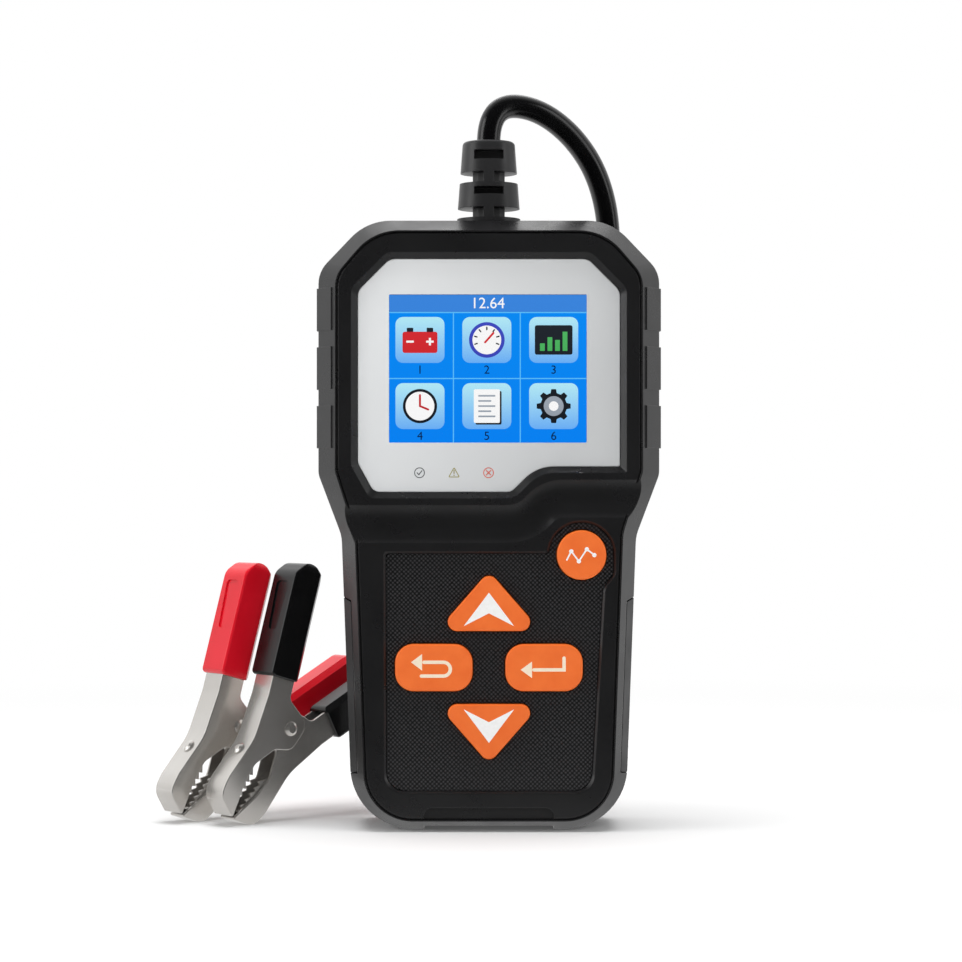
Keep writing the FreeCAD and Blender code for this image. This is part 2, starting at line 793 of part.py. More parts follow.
def keypad():
    panel = keep(new_body("keypad_panel"), "keypad_panel")
    sketch = new_sketch(panel, "Outline", offset="front_depth - panel_drop")
    add_loop(sketch, panel_outline("-panel_gap"))
    for draw in KEYS.values():
        draw(sketch, "key_gap")
    pad(panel, sketch, "panel_thickness", Reversed=True)
    for name, draw in KEYS.items():
        key = keep(new_body(name), name)
        flange = new_sketch(key, "Flange", offset="inner_front - key_gap")
        draw(flange, "key_flange")
        pad(key, flange, "key_flange_thickness", Reversed=True)
        cap = new_sketch(key, "Cap", offset="inner_front - key_gap")
        draw(cap, "0")
        pad(key, cap, "key_top - inner_front + key_gap")
        stem = new_sketch(key, "Stem", offset="inner_front - key_gap - key_flange_thickness")
        add_circle(stem, *KEY_CENTRES[name], "key_stem_radius")
        pad(key, stem, "key_stem_length", Reversed=True)
        soften(key, "key_edge", flat_at("key_top"))


def inside():
    board = keep(new_body("main_board"), "main_board")
    sketch = new_sketch(board, "Outline", offset="board_front")
    add_loop(sketch, mirrored([
        ("board_lower_half", "board_low", "2"),
        ("board_lower_half", "board_step", "1"),
        ("board_upper_half", "board_step", "2"),
        ("board_upper_half", "board_top", "2"),
    ]))
    pad(board, sketch, "board_thickness", Reversed=True)
    plunger = "inner_front - key_gap - key_flange_thickness - key_stem_length - key_travel - 0.3"
    for name, (x, z) in KEY_CENTRES.items():
        label = name.replace("_key", "_switch")
        switch = keep(new_body(label), label)
        base = new_sketch(switch, "Base", offset="board_front")
        add_loop(base, box_corners(x, z, "switch_size", "switch_size", "0.4"))
        pad(switch, base, "switch_height")
        knob = new_sketch(switch, "Plunger", offset="board_front + switch_height")
        add_circle(knob, x, z, "plunger_radius")
        pad(switch, knob, f"{plunger} - board_front - switch_height")
    rear = "-(board_front - board_thickness)"
    buzzer = rod("buzzer", "buzzer_x", rear, "buzzer_z", "buzzer_radius", "buzzer_height", BACKWARD)
    keep(buzzer, "buzzer")
    for name, (x, z) in SCREWS.items():
        screw = keep(new_body(name), name)
        head = new_sketch(screw, "Head", offset="-(rear_depth - screw_sink)")
        add_circle(head, x, z, "screw_head_radius")
        pad(screw, head, "screw_head_height", Reversed=True)
        shank = new_sketch(screw, "Shank", offset="-(rear_depth - screw_sink)")
        add_circle(shank, x, z, "screw_radius")
        pad(screw, shank, "screw_length")
        soften(screw, "0.5", flat_at("-(rear_depth - screw_sink + screw_head_height)"))
        drive = new_sketch(screw, "Drive", offset="-(rear_depth - screw_sink + screw_head_height)")
        add_loop(drive, box_corners(x, z, "0.7", "screw_head_radius * 1.2", "0"))
        pocket(screw, drive, "screw_head_height / 2", Reversed=True)


def side_grips(form):
    for side, label in ((-1, "side_grip_left"), (1, "side_grip_right")):
        keep(join("Common", label, form, [grip_region(f"{label}_region", side, "grip_gap")]), label)


def strain_relief():
    body = keep(new_body("strain_relief"), "strain_relief")
    section = new_sketch(body, "Section")
    add_loop(section, [
        ("0", "case_height - wall_side - 2.6", "0"),
        ("relief_lock", "case_height - wall_side - 2.6", "0.5"),
        ("relief_lock", "case_height - wall_side - 0.1", "0"),
        ("relief_neck", "case_height - wall_side - 0.1", "0"),
        ("relief_neck", "case_height", "0"),
        ("relief_foot_radius", "case_height", "0"),
        ("relief_foot_radius", "case_height + 1.4", "0.5"),
        ("relief_top_radius", "case_height + relief_height", "1.2"),
        ("0", "case_height + relief_height", "0"),
    ])
    turned = body.newObject("PartDesign::Revolution", "Turned")
    turned.Profile = section
    turned.ReferenceAxis = (section, ["V_Axis"])
    document.recompute()
    out = "relief_foot_radius + 2"
    side_bite = [
        ("relief_rib / 2", out, "0"),
        ("relief_rib / 2", "0.94 * relief_core", "0"),
        ("0.68 * relief_core", "0.73 * relief_core", "0.8"),
        ("relief_core", "0.3 * relief_core", "0.8"),
        ("relief_core", "-0.3 * relief_core", "0.8"),
        ("0.68 * relief_core", "-0.73 * relief_core", "0.8"),
        ("relief_rib / 2", "-0.94 * relief_core", "0"),
        ("relief_rib / 2", f"-({out})", "0"),
        (out, f"-({out})", "0"),
        (out, out, "0"),
    ]
    front_bite = [
        ("-relief_slot / 2", "0.9 * relief_core", "0"),
        ("relief_slot / 2", "0.9 * relief_core", "0"),
        ("relief_slot / 2", out, "0"),
        ("-relief_slot / 2", out, "0"),
    ]
    for name, across in (("first", True), ("second", False), ("third", True), ("fourth", False)):
        low, high = f"relief_{name}_low", f"relief_{name}_high"
        bite = new_sketch(body, "Bite", plane="XY_Plane", offset=f"case_height + {high}")
        for sign in (1, -1):
            corners = side_bite if across else front_bite
            turned_corners = [(f"{sign} * ({x})", f"{sign} * ({y})", r) for x, y, r in corners]
            add_loop(bite, turned_corners)
        pocket(body, bite, f"{high} - {low}")


def clamp_frame(pivot):
    """The clamp's own axes: along the handles, towards the lift half, along the pivot."""
    yaw = math.radians(value("clamp_yaw"))
    pitch = math.radians(value("clamp_pitch"))
    level = Vector(math.cos(yaw), math.sin(yaw), 0)
    along = level * math.cos(pitch) + UPWARD * math.sin(pitch)
    across = UPWARD * math.cos(pitch) - level * math.sin(pitch)
    rotation = FreeCAD.Rotation(along, across, along.cross(across), "XYZ")
    return FreeCAD.Placement(pivot, rotation)


def jaw_corners(up):
    """The side plate of one clamp half."""
    slope = "(handle_tip_b - knuckle_b) / (handle_tip_a - knuckle_a)"
    corners = [
        ("handle_tip_a", "handle_tip_b", "1"),
        ("knuckle_a", "knuckle_b", "10"),
        ("knee_a", "knee_b", "18"),
        ("cheek_a", "cheek_b", "11"),
        ("nose_a", "nose_b", "5"),
        ("bite_a", "bite_b", "0.5"),
        ("bite_a + 10.3", "bite_b + 2.8", "4"),
        ("bite_a + 17.1", "bite_b + 3.4", "4"),
        ("-ear_half - 3.2", "bite_b + 0.3", "2"),
        ("-ear_half", "-ear_drop", "4.2"),
        ("ear_half", "-ear_drop", "4.2"),
        ("knuckle_a + 0.39 * flange_depth", "knuckle_b - 0.92 * flange_depth", "2.5"),
        (
            "handle_tip_a + 0.39 * flange_depth",
            f"knuckle_b - 0.92 * flange_depth + (handle_tip_a - knuckle_a) * {slope}", "1",
        ),
    ]
    return corners if up else [(a, f"-({b})", radius) for a, b, radius in corners]


def hollow_corners(up, wall):
    """What is taken out between the side plates, below the web."""
    slope = "(handle_tip_b - knuckle_b) / (handle_tip_a - knuckle_a)"
    corners = [
        ("handle_tip_a + 20", f"handle_tip_b + 20 * {slope} - 1.09 * {wall}", "0"),
        (f"knuckle_a + 0.3 * {wall}", f"knuckle_b - {wall}", "10"),
        ("knee_a", f"knee_b - {wall}", "18"),
        ("cheek_a", f"cheek_b - {wall}", "10"),
        (f"nose_a + 0.75 * {wall}", f"nose_b - 0.75 * {wall}", "4.2"),
        (f"bite_a + 1.06 * {wall} - 0.35 * 20", "bite_b - 20", "0"),
        ("handle_tip_a + 20", "bite_b - 20", "0"),
    ]
    return corners if up else [(a, f"-({b})", radius) for a, b, radius in corners]


def clamp_half(label, up, width, place):
    """One half bent from sheet: a web and two side plates."""
    body = keep(new_body(label), label)
    plate = new_sketch(body, "Plate", plane="XY_Plane")
    add_loop(plate, jaw_corners(up))
    pad(body, plate, width, Midplane=True)
    side = value(width) / 2
    soften(body, "clamp_edge", lambda edge: all(abs(abs(v.Z) - side) < 1e-4 for v in edge.Vertexes))
    hollow = new_sketch(body, "Hollow", plane="XY_Plane")
    add_loop(hollow, hollow_corners(up, "clamp_wall"))
    pocket(body, hollow, f"{width} - 2 * clamp_wall", Midplane=True)
    hole = new_sketch(body, "PivotHole", plane="XY_Plane")
    add_circle(hole, "0", "0", "rivet_radius + rivet_gap")
    pocket(body, hole, f"{width} + 2", Midplane=True)
    stud_hole = new_sketch(body, "StudHole", plane="XZ_Plane", offset="0")
    add_circle(stud_hole, "stud_a", "0", "stud_radius + 0.05")
    pocket(body, stud_hole, "2 * cheek_b", Reversed=not up)
    body.Placement = place
    return body


def jaw_liner(label, up, width, place):
    """The toothed contact strip riveted inside a jaw."""
    body = keep(new_body(label), label)
    sign = "1" if up else "-1"
    roof = "cheek_b - clamp_wall - liner_gap"
    front = "nose_a + 2.2"
    back = "stud_a + 3.2"
    teeth = 6
    corners = [(back, f"{sign} * (knee_b - clamp_wall - liner_gap - 0.15)", "0")]
    corners.append(("cheek_a + 1", f"{sign} * ({roof} - 0.05)", "1"))
    corners.append((front, f"{sign} * ({roof} - 1.5)", "2.2"))
    corners.append((f"{front} - 1.6", f"{sign} * (bite_b + 2.2)", "0.4"))
    for i in range(teeth):
        point = f"bite_a + 2.9 + {i} * tooth_pitch"
        corners.append((point, f"{sign} * (bite_b + 0.35 + {i} * 0.22)", "0"))
        root = f"bite_b + 0.35 + {i} * 0.22 + tooth_depth"
        corners.append((f"{point} + tooth_pitch * 0.75", f"{sign} * ({root})", "0"))
    corners.append((back, f"{sign} * (bite_b + 6.2)", "0.5"))
    plate = new_sketch(body, "Plate", plane="XY_Plane")
    add_loop(plate, corners)
    pad(body, plate, width, Midplane=True)
    hollow = new_sketch(body, "Hollow", plane="XY_Plane")
    add_loop(hollow, [
        (f"{back} + 4", f"{sign} * (knee_b - clamp_wall - liner_gap - 0.15 - liner_wall)", "0"),
        ("cheek_a + 1", f"{sign} * ({roof} - 0.05 - liner_wall)", "1"),
        (f"{front} + 0.5 * liner_wall", f"{sign} * ({roof} - 1.5 - 0.8 * liner_wall)", "1.6"),
        (f"{front} - 1.6 + liner_wall", f"{sign} * (bite_b + 2.2)", "0"),
        (f"{front} - 1.6 + liner_wall", f"{sign} * (bite_b - 8)", "0"),
        (f"{back} + 4", f"{sign} * (bite_b - 8)", "0"),
    ])
    pocket(body, hollow, f"{width} - 2 * liner_wall", Midplane=True)
    stud_hole = new_sketch(body, "StudHole", plane="XZ_Plane", offset="0")
    add_circle(stud_hole, "stud_a", "0", "stud_radius + 0.05")
    pocket(body, stud_hole, "2 * cheek_b", Reversed=not up)
    body.Placement = place
    return body


def turned_piece(label, corners, place):
    """A solid turned about the local vertical axis of its section."""
    body = keep(new_body(label), label)
    section = new_sketch(body, "Section")
    add_loop(section, corners)
    turned = body.newObject("PartDesign::Revolution", "Turned")
    turned.Profile = section
    turned.ReferenceAxis = (section, ["V_Axis"])
    document.recompute()
    body.Placement = place
    return body


def pivot_rivet(label, place):
    half = "lift_width / 2 + nest_gap"
    corners = [
        ("0", f"-({half}) - rivet_dome", "0"),
        ("0.55 * rivet_head", f"-({half}) - rivet_dome", "0.6"),
        ("rivet_head", f"-({half}) - 0.35 * rivet_dome", "0.4"),
        ("rivet_head", f"-({half})", "0"),
        ("rivet_radius", f"-({half})", "0"),
        ("rivet_radius", half, "0"),
        ("rivet_head", half, "0"),
        ("rivet_head", f"{half} + 0.35 * rivet_dome", "0.4"),
        ("0.55 * rivet_head", f"{half} + rivet_dome", "0.6"),
        ("0", f"{half} + rivet_dome", "0"),
    ]
    turned_piece(label, corners, place)


def jaw_stud(label, up, place):
    """The round stud that holds a liner to its web."""
    top = "knee_b + 0.12"
    under = "knee_b - clamp_wall - liner_gap - liner_wall - 0.25"
    corners = [
        ("0", f"{under} - 0.8", "0"),
        ("1.6 * stud_radius", f"{under} - 0.8", "0.2"),
        ("1.6 * stud_radius", under, "0"),
        ("stud_radius", under, "0"),
        ("stud_radius", top, "0"),
        ("stud_head", top, "0"),
        ("stud_head", f"{top} + 0.4 * stud_dome", "0.3"),
        ("0.5 * stud_head", f"{top} + stud_dome", "0.5"),
        ("0", f"{top} + stud_dome", "0"),
    ]
    tilt = FreeCAD.Rotation(Vector(1, 0, 0), -90 if up else 90)
    local = FreeCAD.Placement(Vector(value("stud_a"), 0, 0), tilt)
    turned_piece(label, corners, place.multiply(local))


def handle_sleeve(label, up, width, place):
    """The grip slipped over one handle, closed at its far end."""
    run = Vector(value("handle_tip_a - knuckle_a"), value("handle_tip_b - knuckle_b"), 0)
    slant = math.degrees(math.atan2(run.y, run.x))
    sign = 1 if up else -1
    body = keep(new_body(label), label)
    length = "sqrt((handle_tip_a - knuckle_a)^2 + (handle_tip_b - knuckle_b)^2)"
    wall = "(sleeve_wall + sleeve_gap)"
    half = f"(({width}) / 2 + {wall})"
    back = f"(flange_depth + {wall})"
    tip = f"({length} + sleeve_end)"
    turn = "(sleeve_crown + 0.2)"
    out = new_sketch(body, "Outer", plane="XY_Plane")
    add_loop(out, [
        ("sleeve_start", f"{sign} * -{back}", "1.6"),
        (f"{length} + 0.27 * sleeve_end", f"{sign} * -{back}", "5"),
        (tip, f"{sign} * -(0.45 * flange_depth)", "4"),
        (f"{length} + 0.1 * sleeve_end", f"{sign} * {wall}", "4.5"),
        ("sleeve_start", f"{sign} * {wall}", "1.4"),
    ])
    pad(body, out, f"2 * {half}", Midplane=True)
    soften(body, "0.8", lambda edge: all(abs(abs(v.Z) - value(half)) < 1e-4 for v in edge.Vertexes))
    facet = new_sketch(body, "Facet", plane="YZ_Plane")
    crown = new_sketch(body, "Crown", plane="XZ_Plane")
    for side in (1, -1):
        add_loop(facet, [
            (f"{-sign} * ({back} + 1)", f"{side} * ({half} + 1)", "0"),
            (f"{-sign} * ({back} + 1)", f"{side} * ({half} - sleeve_facet - 1)", "0"),
            (f"{-sign} * ({back} - sleeve_facet - 1)", f"{side} * ({half} + 1)", "0"),
        ])
        add_loop(crown, [
            (f"{tip} + 1", f"{side} * ({half} + 1)", "0"),
            (f"{tip} + 1", f"{side} * ({half} - {turn})", "0"),
            (tip, f"{side} * ({half} - {turn})", "0"),
            (tip, f"{side} * {half}", "sleeve_crown"),
            (f"{tip} - {turn}", f"{side} * {half}", "0"),
            (f"{tip} - {turn}", f"{side} * ({half} + 1)", "0"),
        ])
    pocket(body, facet, f"4 * {length}", Midplane=True)
    pocket(body, crown, f"4 * {back}", Midplane=True)
    room = new_sketch(body, "Room", plane="XY_Plane")
    add_loop(room, [
        ("-sleeve_start", f"{sign} * -(flange_depth + sleeve_gap)", "0"),
        (f"{length} + sleeve_gap", f"{sign} * -(flange_depth + sleeve_gap)", "0"),
        (f"{length} + sleeve_gap", f"{sign} * sleeve_gap", "0"),
        ("-sleeve_start", f"{sign} * sleeve_gap", "0"),
    ])
    pocket(body, room, f"{width} + 2 * sleeve_gap", Midplane=True)
    dish = new_sketch(body, "Dish", plane="XZ_Plane", offset=f"{-sign} * {wall}")
    add_loop(dish, [
        ("sleeve_start + dish_low", "-dish_low_half", "1"),
        ("sleeve_start + dish_low + dish_reach", "-dish_high_half", "1.4"),
        ("sleeve_start + dish_low + dish_reach", "dish_high_half", "1.4"),
        ("sleeve_start + dish_low", "dish_low_half", "1"),
    ])
    pocket(body, dish, "0.4 * sleeve_wall", Reversed=up)
    local = FreeCAD.Placement(
        Vector(value("knuckle_a"), sign * value("knuckle_b"), 0),
        FreeCAD.Rotation(Vector(0, 0, 1), sign * slant),
    )
    body.Placement = place.multiply(local)
    cord_end = Vector(value(tip), -sign * value("0.45 * flange_depth"), 0)
    return body.Placement.multVec(cord_end), body.Placement.Rotation.multVec(Vector(1, 0, 0))


def clamp_spring(label, place):
    """A torsion spring: turns of real pitch and two straight legs, one unbroken wire."""
    radius = value("spring_radius")
    pitch = value("spring_pitch")
    leg = value("spring_leg")
    first, last = math.radians(30), math.radians(-30 + 4 * 360)
    rise = pitch / (2 * math.pi)
    low = -rise * (last - first) / 2
    steps = 62

    def at(turn):
        return Vector(radius * math.cos(turn), radius * math.sin(turn), low + rise * (turn - first))

    def heading(turn):
        return Vector(-radius * math.sin(turn), radius * math.cos(turn), 0).normalize()

    marks = [first + (last - first) * i / steps for i in range(steps + 1)]
    edges = [Part.LineSegment(at(first) - heading(first) * leg, at(first)).toShape()]
    for left, right in zip(marks, marks[1:]):
        edges.append(Part.Arc(at(left), at((left + right) / 2), at(right)).toShape())
    edges.append(Part.LineSegment(at(last), at(last) + heading(last) * leg).toShape())
    path = Part.Wire(edges)
    start = at(first) - heading(first) * leg
    ring = Part.Wire(Part.Circle(start, heading(first), value("spring_wire") / 2).toShape())
    tube = path.makePipeShell([ring], True, False)
    feature = keep(document.addObject("Part::Feature", label), label)
    feature.Shape = tube
    feature.Placement = place
    wanted = path.Length * math.pi * value("spring_wire") ** 2 / 4
    share = round(tube.Volume / wanted, 4)
    print(label, "volume share", share, "gap", round(pitch - value("spring_wire"), 3))


def cord_tube(label, route, diameter):
    """A tube along straight runs joined by the largest tangent arcs they allow."""
    points = [Vector(*p) for p in route]
    edges = []
    radii = []
    at = points[0]
    for before, corner, after in zip(points, points[1:], points[2:]):
        back = (before - corner)
        ahead = (after - corner)
        reach = 0.45 * min(back.Length, ahead.Length)
        turn = math.pi - back.getAngle(ahead)
        radius = reach / math.tan(turn / 2)
        back.normalize()
        ahead.normalize()
        start = corner + back * reach
        end = corner + ahead * reach
        inward = (back + ahead).normalize()
        centre = corner + inward * math.hypot(radius, reach)
        middle = centre - inward * radius
        edges.append(Part.LineSegment(at, start).toShape())
        edges.append(Part.Arc(start, middle, end).toShape())
        radii.append(round(radius, 1))
        at = end
    edges.append(Part.LineSegment(at, points[-1]).toShape())
    path = Part.Wire(edges)
    ring = Part.Wire(Part.Circle(points[0], points[1] - points[0], diameter / 2).toShape())
    tube = path.makePipeShell([ring], True, False)
    feature = keep(document.addObject("Part::Feature", label), label)
    feature.Shape = tube
    share = tube.Volume / (path.Length * math.pi * diameter ** 2 / 4)
    print(label, "length", round(path.Length, 1), "radii", radii, "volume share", round(share, 4))


def cable_splitter(entry, heading):
    """The moulded piece where the cable becomes two leads."""
    cone = document.addObject("Part::Cone", "cable_splitter")
    bind(cone, Radius1="splitter_radius", Radius2="splitter_end", Height="splitter_length")
    cone.Placement = FreeCAD.Placement(entry, FreeCAD.Rotation(UPWARD, heading))
    keep(cone, "cable_splitter")
    return entry + heading * value("splitter_length")


def clamp(colour, pivot):
    """One clamp: returns where its lead enters the base handle and the way out of it."""
    place = clamp_frame(pivot)
    base_width = "lift_width - 2 * (clamp_wall + nest_gap)"
    exit_point, exit_way = None, None
    for half, up, width in (("lift", True, "lift_width"), ("base", False, base_width)):
        clamp_half(f"{colour}_{half}_jaw", up, width, place)
        inner = f"{width} - 2 * (clamp_wall + 3 * nest_gap)"
        jaw_liner(f"{colour}_{half}_teeth", up, inner, place)
        jaw_stud(f"{colour}_{half}_stud", up, place)
        exit_point, exit_way = handle_sleeve(f"{colour}_{half}_sleeve", up, width, place)
    pivot_rivet(f"{colour}_pivot_rivet", place)
    clamp_spring(f"{colour}_spring", place)
    print(colour, "lead leaves", exit_point, "towards", exit_way)
    return exit_point, exit_way


def cords():
    cord_tube("tester_cable", CABLE_ROUTE, value("cable_diameter"))
    cord_tube("black_lead", BLACK_LEAD_ROUTE, value("lead_diameter"))
    cord_tube("red_lead", RED_LEAD_ROUTE, value("lead_diameter"))
    last = Vector(*CABLE_ROUTE[-1])
    heading = (last - Vector(*CABLE_ROUTE[-2])).normalize()
    end = cable_splitter(last, heading)
    print("splitter ends", end, "heading", heading)


def check():
    """Every object has to be computed, and every node one valid closed shape."""
    document.recompute()
    bad = [o.Name for o in document.Objects if {"Invalid", "Error"} & set(o.State)]
    for label, thing in nodes.items():
        shape = thing.Shape
        if shape.isNull() or not shape.isValid() or not shape.Solids:
            bad.append(label)
    if bad:
        raise RuntimeError(f"not built: {bad}")


def write():
    os.makedirs("parts", exist_ok=True)
    for label, thing in nodes.items():
        thing.Shape.exportStep(f"parts/{label}.step")
        print(label, len(thing.Shape.Solids), "solid", round(thing.Shape.Volume, 1))


shared_tools = case_tools()
front_housing(shared_tools, grip_ridges())
rear_housing(shared_tools)
side_grips(outer_form("CaseForm", "0"))
display()
keypad()
inside()
strain_relief()
for clamp_colour, clamp_pivot in CLAMPS.items():
    clamp(clamp_colour, clamp_pivot)
cords()
check()
write()
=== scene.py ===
import logging
import math
from dataclasses import dataclass, field
from enum import Enum
from typing import ClassVar, Sequence

import bmesh
import bpy
from mathutils import Matrix, Vector


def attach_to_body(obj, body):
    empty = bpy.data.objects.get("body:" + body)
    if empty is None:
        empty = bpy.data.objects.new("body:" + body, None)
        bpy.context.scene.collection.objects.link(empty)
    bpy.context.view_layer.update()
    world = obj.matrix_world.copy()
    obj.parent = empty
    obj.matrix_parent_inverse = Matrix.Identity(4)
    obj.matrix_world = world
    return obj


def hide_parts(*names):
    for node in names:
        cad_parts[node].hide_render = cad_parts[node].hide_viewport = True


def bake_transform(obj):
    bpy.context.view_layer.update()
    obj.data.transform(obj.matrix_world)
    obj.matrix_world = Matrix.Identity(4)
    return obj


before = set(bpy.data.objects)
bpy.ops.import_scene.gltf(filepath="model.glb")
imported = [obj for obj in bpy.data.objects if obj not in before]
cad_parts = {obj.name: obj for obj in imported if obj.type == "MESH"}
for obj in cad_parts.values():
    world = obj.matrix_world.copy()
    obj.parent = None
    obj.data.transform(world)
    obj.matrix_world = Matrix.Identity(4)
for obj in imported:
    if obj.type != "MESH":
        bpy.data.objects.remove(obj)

LOG = logging.getLogger("battery_tester")
MM = 0.001
ROOT = "tester"
# What a node's name holds where the node is part of a clamp's moving half.
MOVING_MARK = "_lift_"
# A font's size for a figure of height 1.
FONT_SIZE = 1.4
# How thick printed figures are, on either side, in millimetres.
FIGURE_DEPTH = 0.01
Point2 = tuple[float, float]
Point3 = tuple[float, float, float]
Outline = list[Point2]
Tree = bpy.types.NodeTree
Node = bpy.types.Node
Socket = bpy.types.NodeSocket
Object = bpy.types.Object


class Clamp(Enum):
    """The two clamps, by the colour of their sleeves."""

    BLACK = "black"
    RED = "red"


def linear(code: str) -> tuple[float, float, float, float]:
    """Turns an sRGB hex colour to linear.

    Args:
        code: Six hex digits.

    Returns:
        Red, green, blue and an alpha of 1.
    """
    parts = [int(code[i:i + 2], 16) / 255 for i in (0, 2, 4)]
    values = [c / 12.92 if c <= 0.04045 else ((c + 0.055) / 1.055) ** 2.4 for c in parts]
    return (*values, 1.0)


def add_node(tree: Tree, kind: str, inputs: dict | None = None, **settings) -> Node:
    """Adds a node with its settings and links.

    Args:
        tree: The tree that gets the node.
        kind: The node's type name.
        inputs: Input names or numbers, each with a value or with the socket to link.
        settings: Properties of the node.

    Returns:
        The new node.
    """
    node = tree.nodes.new(kind)
    for name, setting in settings.items():
        setattr(node, name, setting)
    for name, given in (inputs or {}).items():
        socket = node.inputs[name]
        if isinstance(given, bpy.types.NodeSocket):
            tree.links.new(given, socket)
        else:
            socket.default_value = given
    return node


def place(tree: Tree) -> Socket:
    """The Object coordinates of a material."""
    return add_node(tree, "ShaderNodeTexCoord").outputs["Object"]


def scale_of(size_mm: float) -> float:
    """The texture scale whose features are about that many millimetres wide."""
    return 1 / (size_mm * MM)


def cloud(tree: Tree, size_mm: float, detail: float) -> Socket:
    """An uneven pattern over the surface, 0 to 1, with patches of that size and finer ones in them."""
    return add_node(tree, "ShaderNodeTexNoise", {
        "Vector": place(tree), "Scale": scale_of(size_mm), "Detail": detail}).outputs["Fac"]


@dataclass(frozen=True)
class Finish:
    """A named surface finish in colours from low to high, whose material is made once."""

    name: str
    low: str = "ffffff"
    high: str = "ffffff"
    made: ClassVar[dict[str, bpy.types.Material]] = {}

    def material(self) -> bpy.types.Material:
        """Makes the material, or finds the one made before.

        Returns:
            The finish's material.
        """
        if self.name not in Finish.made:
            material = bpy.data.materials.new(self.name)
            material.use_nodes = True
            tree = material.node_tree
            tree.nodes.clear()
            shader = add_node(tree, "ShaderNodeBsdfPrincipled")
            add_node(tree, "ShaderNodeOutputMaterial", {"Surface": shader.outputs["BSDF"]})
            self.paint(tree, shader)
            # Paper and screen shine where they are seen, but they aren't lamps.
            material.cycles.emission_sampling = "NONE"
            Finish.made[self.name] = material
        return Finish.made[self.name]

    def paint(self, tree: Tree, shader: Node) -> None:
        """Fills in the shader."""
        raise NotImplementedError

    def tint(self, tree: Tree, socket: Socket, factor: Socket, span: Point2) -> None:
        """Takes a socket from the low colour to the high one.

        Args:
            tree: The material's tree.
            socket: The colour to set.
            factor: What the colour follows.
            span: The factor at the low and at the high colour.
        """
        if self.low == self.high:
            socket.default_value = linear(self.high)
            return
        share = add_node(tree, "ShaderNodeMapRange", {
            "Value": factor, "From Min": span[0], "From Max": span[1]})
        mix = add_node(tree, "ShaderNodeMix", {
            0: share.outputs["Result"], 6: linear(self.low), 7: linear(self.high)}, data_type="RGBA")
        tree.links.new(mix.outputs[2], socket)

    def mottle(self, tree: Tree, shader: Node, size_mm: float, detail: float = 0.0,
               span: Point2 = (0.1, 0.9)) -> None:
        """Lets the colour wander from the low one to the high one.

        Args:
            tree: The material's tree.
            shader: Its shader.
            size_mm: How wide a patch is.
            detail: How many finer patches lie in it.
            span: The noise at the low and at the high colour.
        """
        self.tint(tree, shader.inputs["Base Color"], cloud(tree, size_mm, detail), span)


def settle(shader: Node, values: dict) -> None:
    """Sets a shader's inputs that are the same all over."""
    for name, value in values.items():
        shader.inputs[name].default_value = value


def roughen(tree: Tree, shader: Node, size_mm: float, low: float, high: float) -> None:
    """Lets the roughness wander between two values.

    Args:
        tree: The material's tree.
        shader: Its shader.
        size_mm: How wide a patch is.
        low: Least roughness.
        high: Most roughness.
    """
    spread = add_node(tree, "ShaderNodeMapRange", {
        "Value": cloud(tree, size_mm, 3.0), "From Min": 0.3, "From Max": 0.7, "To Min": low, "To Max": high},
        interpolation_type="SMOOTHSTEP")
    tree.links.new(spread.outputs["Result"], shader.inputs["Roughness"])


def emboss(tree: Tree, shader: Node, height: Socket, depth_mm: float, strength: float,
           edge_mm: float = 0.0) -> None:
    """Adds a bump, over edges rounded by a small radius.

    Args:
        tree: The material's tree.
        shader: Its shader.
        height: The bump's height, 0 to 1.
        depth_mm: How deep the bump is.
        strength: How much of it shows.
        edge_mm: The radius of worn edges.
    """
    bump = add_node(tree, "ShaderNodeBump", {
        "Height": height, "Distance": depth_mm * MM, "Strength": strength})
    if edge_mm:
        soft = add_node(tree, "ShaderNodeBevel", {"Radius": edge_mm * MM}, samples=6)
        tree.links.new(soft.outputs["Normal"], bump.inputs["Normal"])
    tree.links.new(bump.outputs["Normal"], shader.inputs["Normal"])


@dataclass(frozen=True)
class MouldedPlastic(Finish):
    """Injection-moulded plastic with a fine eroded grain: soft gloss, faint mottling."""

    grain_mm: float = 0.45
    grain_depth_mm: float = 0.02
    roughness: tuple[float, float] = (0.36, 0.48)
    ior: float = 1.5
    edge_mm: float = 0.25

    def paint(self, tree: Tree, shader: Node) -> None:
        """Fills in the shader."""
        self.mottle(tree, shader, 14)
        roughen(tree, shader, 9.0, *self.roughness)
        emboss(tree, shader, cloud(tree, self.grain_mm, 2.0), self.grain_depth_mm, 0.35, self.edge_mm)
        settle(shader, {"IOR": self.ior})


@dataclass(frozen=True)
class WovenInlay(Finish):
    """Moulded inlay with a fine basket pattern that dulls its shine; its colour is painted light and shade,
    light on the tops of the dots and dark in the hollows between them.
    """

    pitch_mm: float = 0.9

    def paint(self, tree: Tree, shader: Node) -> None:
        """Fills in the shader."""
        quarter, slant = math.radians(90), math.radians(45)
        turn = add_node(tree, "ShaderNodeMapping", {"Vector": place(tree), "Rotation": (quarter, 0, slant)})
        cells = add_node(tree, "ShaderNodeTexVoronoi", {
            "Vector": turn.outputs["Vector"], "Scale": scale_of(self.pitch_mm), "Randomness": 0.12},
            voronoi_dimensions="2D")
        # Painted light and shade: light on each dot's top, dark in the hollows between the dots.
        self.tint(tree, shader.inputs["Base Color"], cells.outputs["Distance"], (0.12, 0.5))
        roughen(tree, shader, 2.0, 0.42, 0.55)
        round_top = add_node(tree, "ShaderNodeMath", {
            0: 1.0, 1: cells.outputs["Distance"]}, operation="SUBTRACT")
        emboss(tree, shader, round_top.outputs["Value"], 0.12, 0.6)


